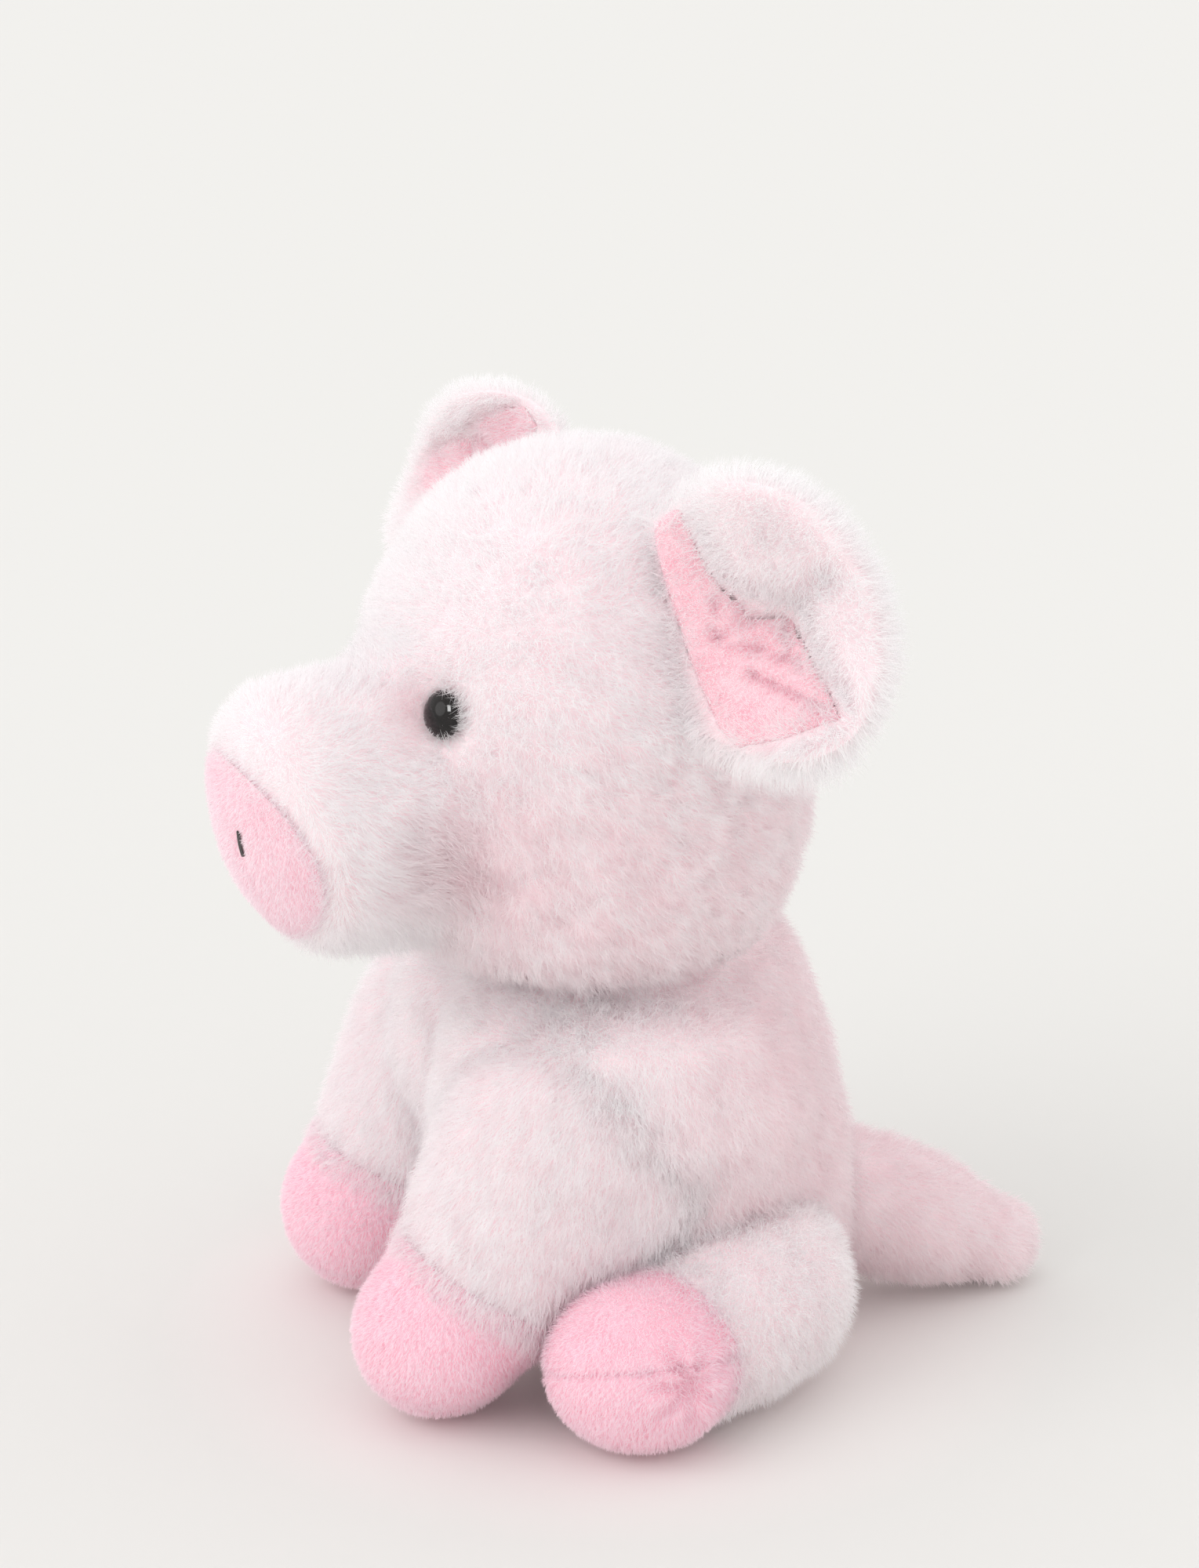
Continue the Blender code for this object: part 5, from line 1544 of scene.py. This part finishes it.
def placedLamp(name, kind, energy, place, aim):
    lamp = bpy.data.lights.new(name, kind)
    lamp.energy = energy
    lit = bpy.data.objects.new(name, lamp)
    lit.location = place
    lit.rotation_euler = (aim - place).to_track_quat("-Z", "Y").to_euler()
    bpy.context.scene.collection.objects.link(lit)
    return lit


def makeLight():
    world = bpy.data.worlds.new("studio")
    world.use_nodes = True
    graph = Graph(world.node_tree)
    path = graph.node("ShaderNodeLightPath")
    shown = graph.node("ShaderNodeMath", {"operation": "MAXIMUM"}, {
        0: path["Is Camera Ray"], 1: path["Is Glossy Ray"]})[0]
    lit = graph.node("ShaderNodeBackground", {}, {
        "Color": lightLook["colour"], "Strength": lightLook["world"]})
    seen = graph.node("ShaderNodeBackground", {}, {"Color": lightLook["seen"], "Strength": 1.0})
    mix = graph.node("ShaderNodeMixShader", {}, {0: shown, 1: lit[0], 2: seen[0]})
    graph.node("ShaderNodeOutputWorld", {}, {"Surface": mix[0]})
    bpy.context.scene.world = world
    middle = Vector((0, 0, 0.1))
    key = placedLamp("key", "SUN", lightLook["key"], lightLook["keyPlace"], middle)
    key.data.angle = lightLook["keyWidth"]
    # this box lights nothing and only shows in the shiny eyes
    box = placedLamp("eyeBox", "AREA", lightLook["eyeBox"], lightLook["eyeBoxPlace"], middle)
    box.data.shape, box.data.size, box.data.size_y = "RECTANGLE", 0.5, 0.7
    box.visible_diffuse = box.visible_transmission = box.visible_camera = False


def makeCamera():
    lens = bpy.data.cameras.new("photoView")
    azimuth, elevation = math.radians(cameraLook["azimuth"]), math.radians(cameraLook["elevation"])
    level = math.cos(elevation)
    back = Vector((math.sin(azimuth) * level, -math.cos(azimuth) * level, math.sin(elevation)))
    lens.sensor_fit = "VERTICAL"
    lens.sensor_height = 24.0
    lens.lens = lens.sensor_height * cameraLook["distance"] / cameraLook["fieldHeight"]
    lens.clip_end = 50.0
    view = bpy.data.objects.new("photoView", lens)
    view.location = cameraLook["target"] + back * cameraLook["distance"]
    view.rotation_euler = (-back).to_track_quat("-Z", "Y").to_euler()
    bpy.context.scene.collection.objects.link(view)
    bpy.context.scene.camera = view


makeFloor()
makeLight()
makeCamera()
bpy.context.scene.view_settings.view_transform = "Standard"
print("floor, light and camera are set")
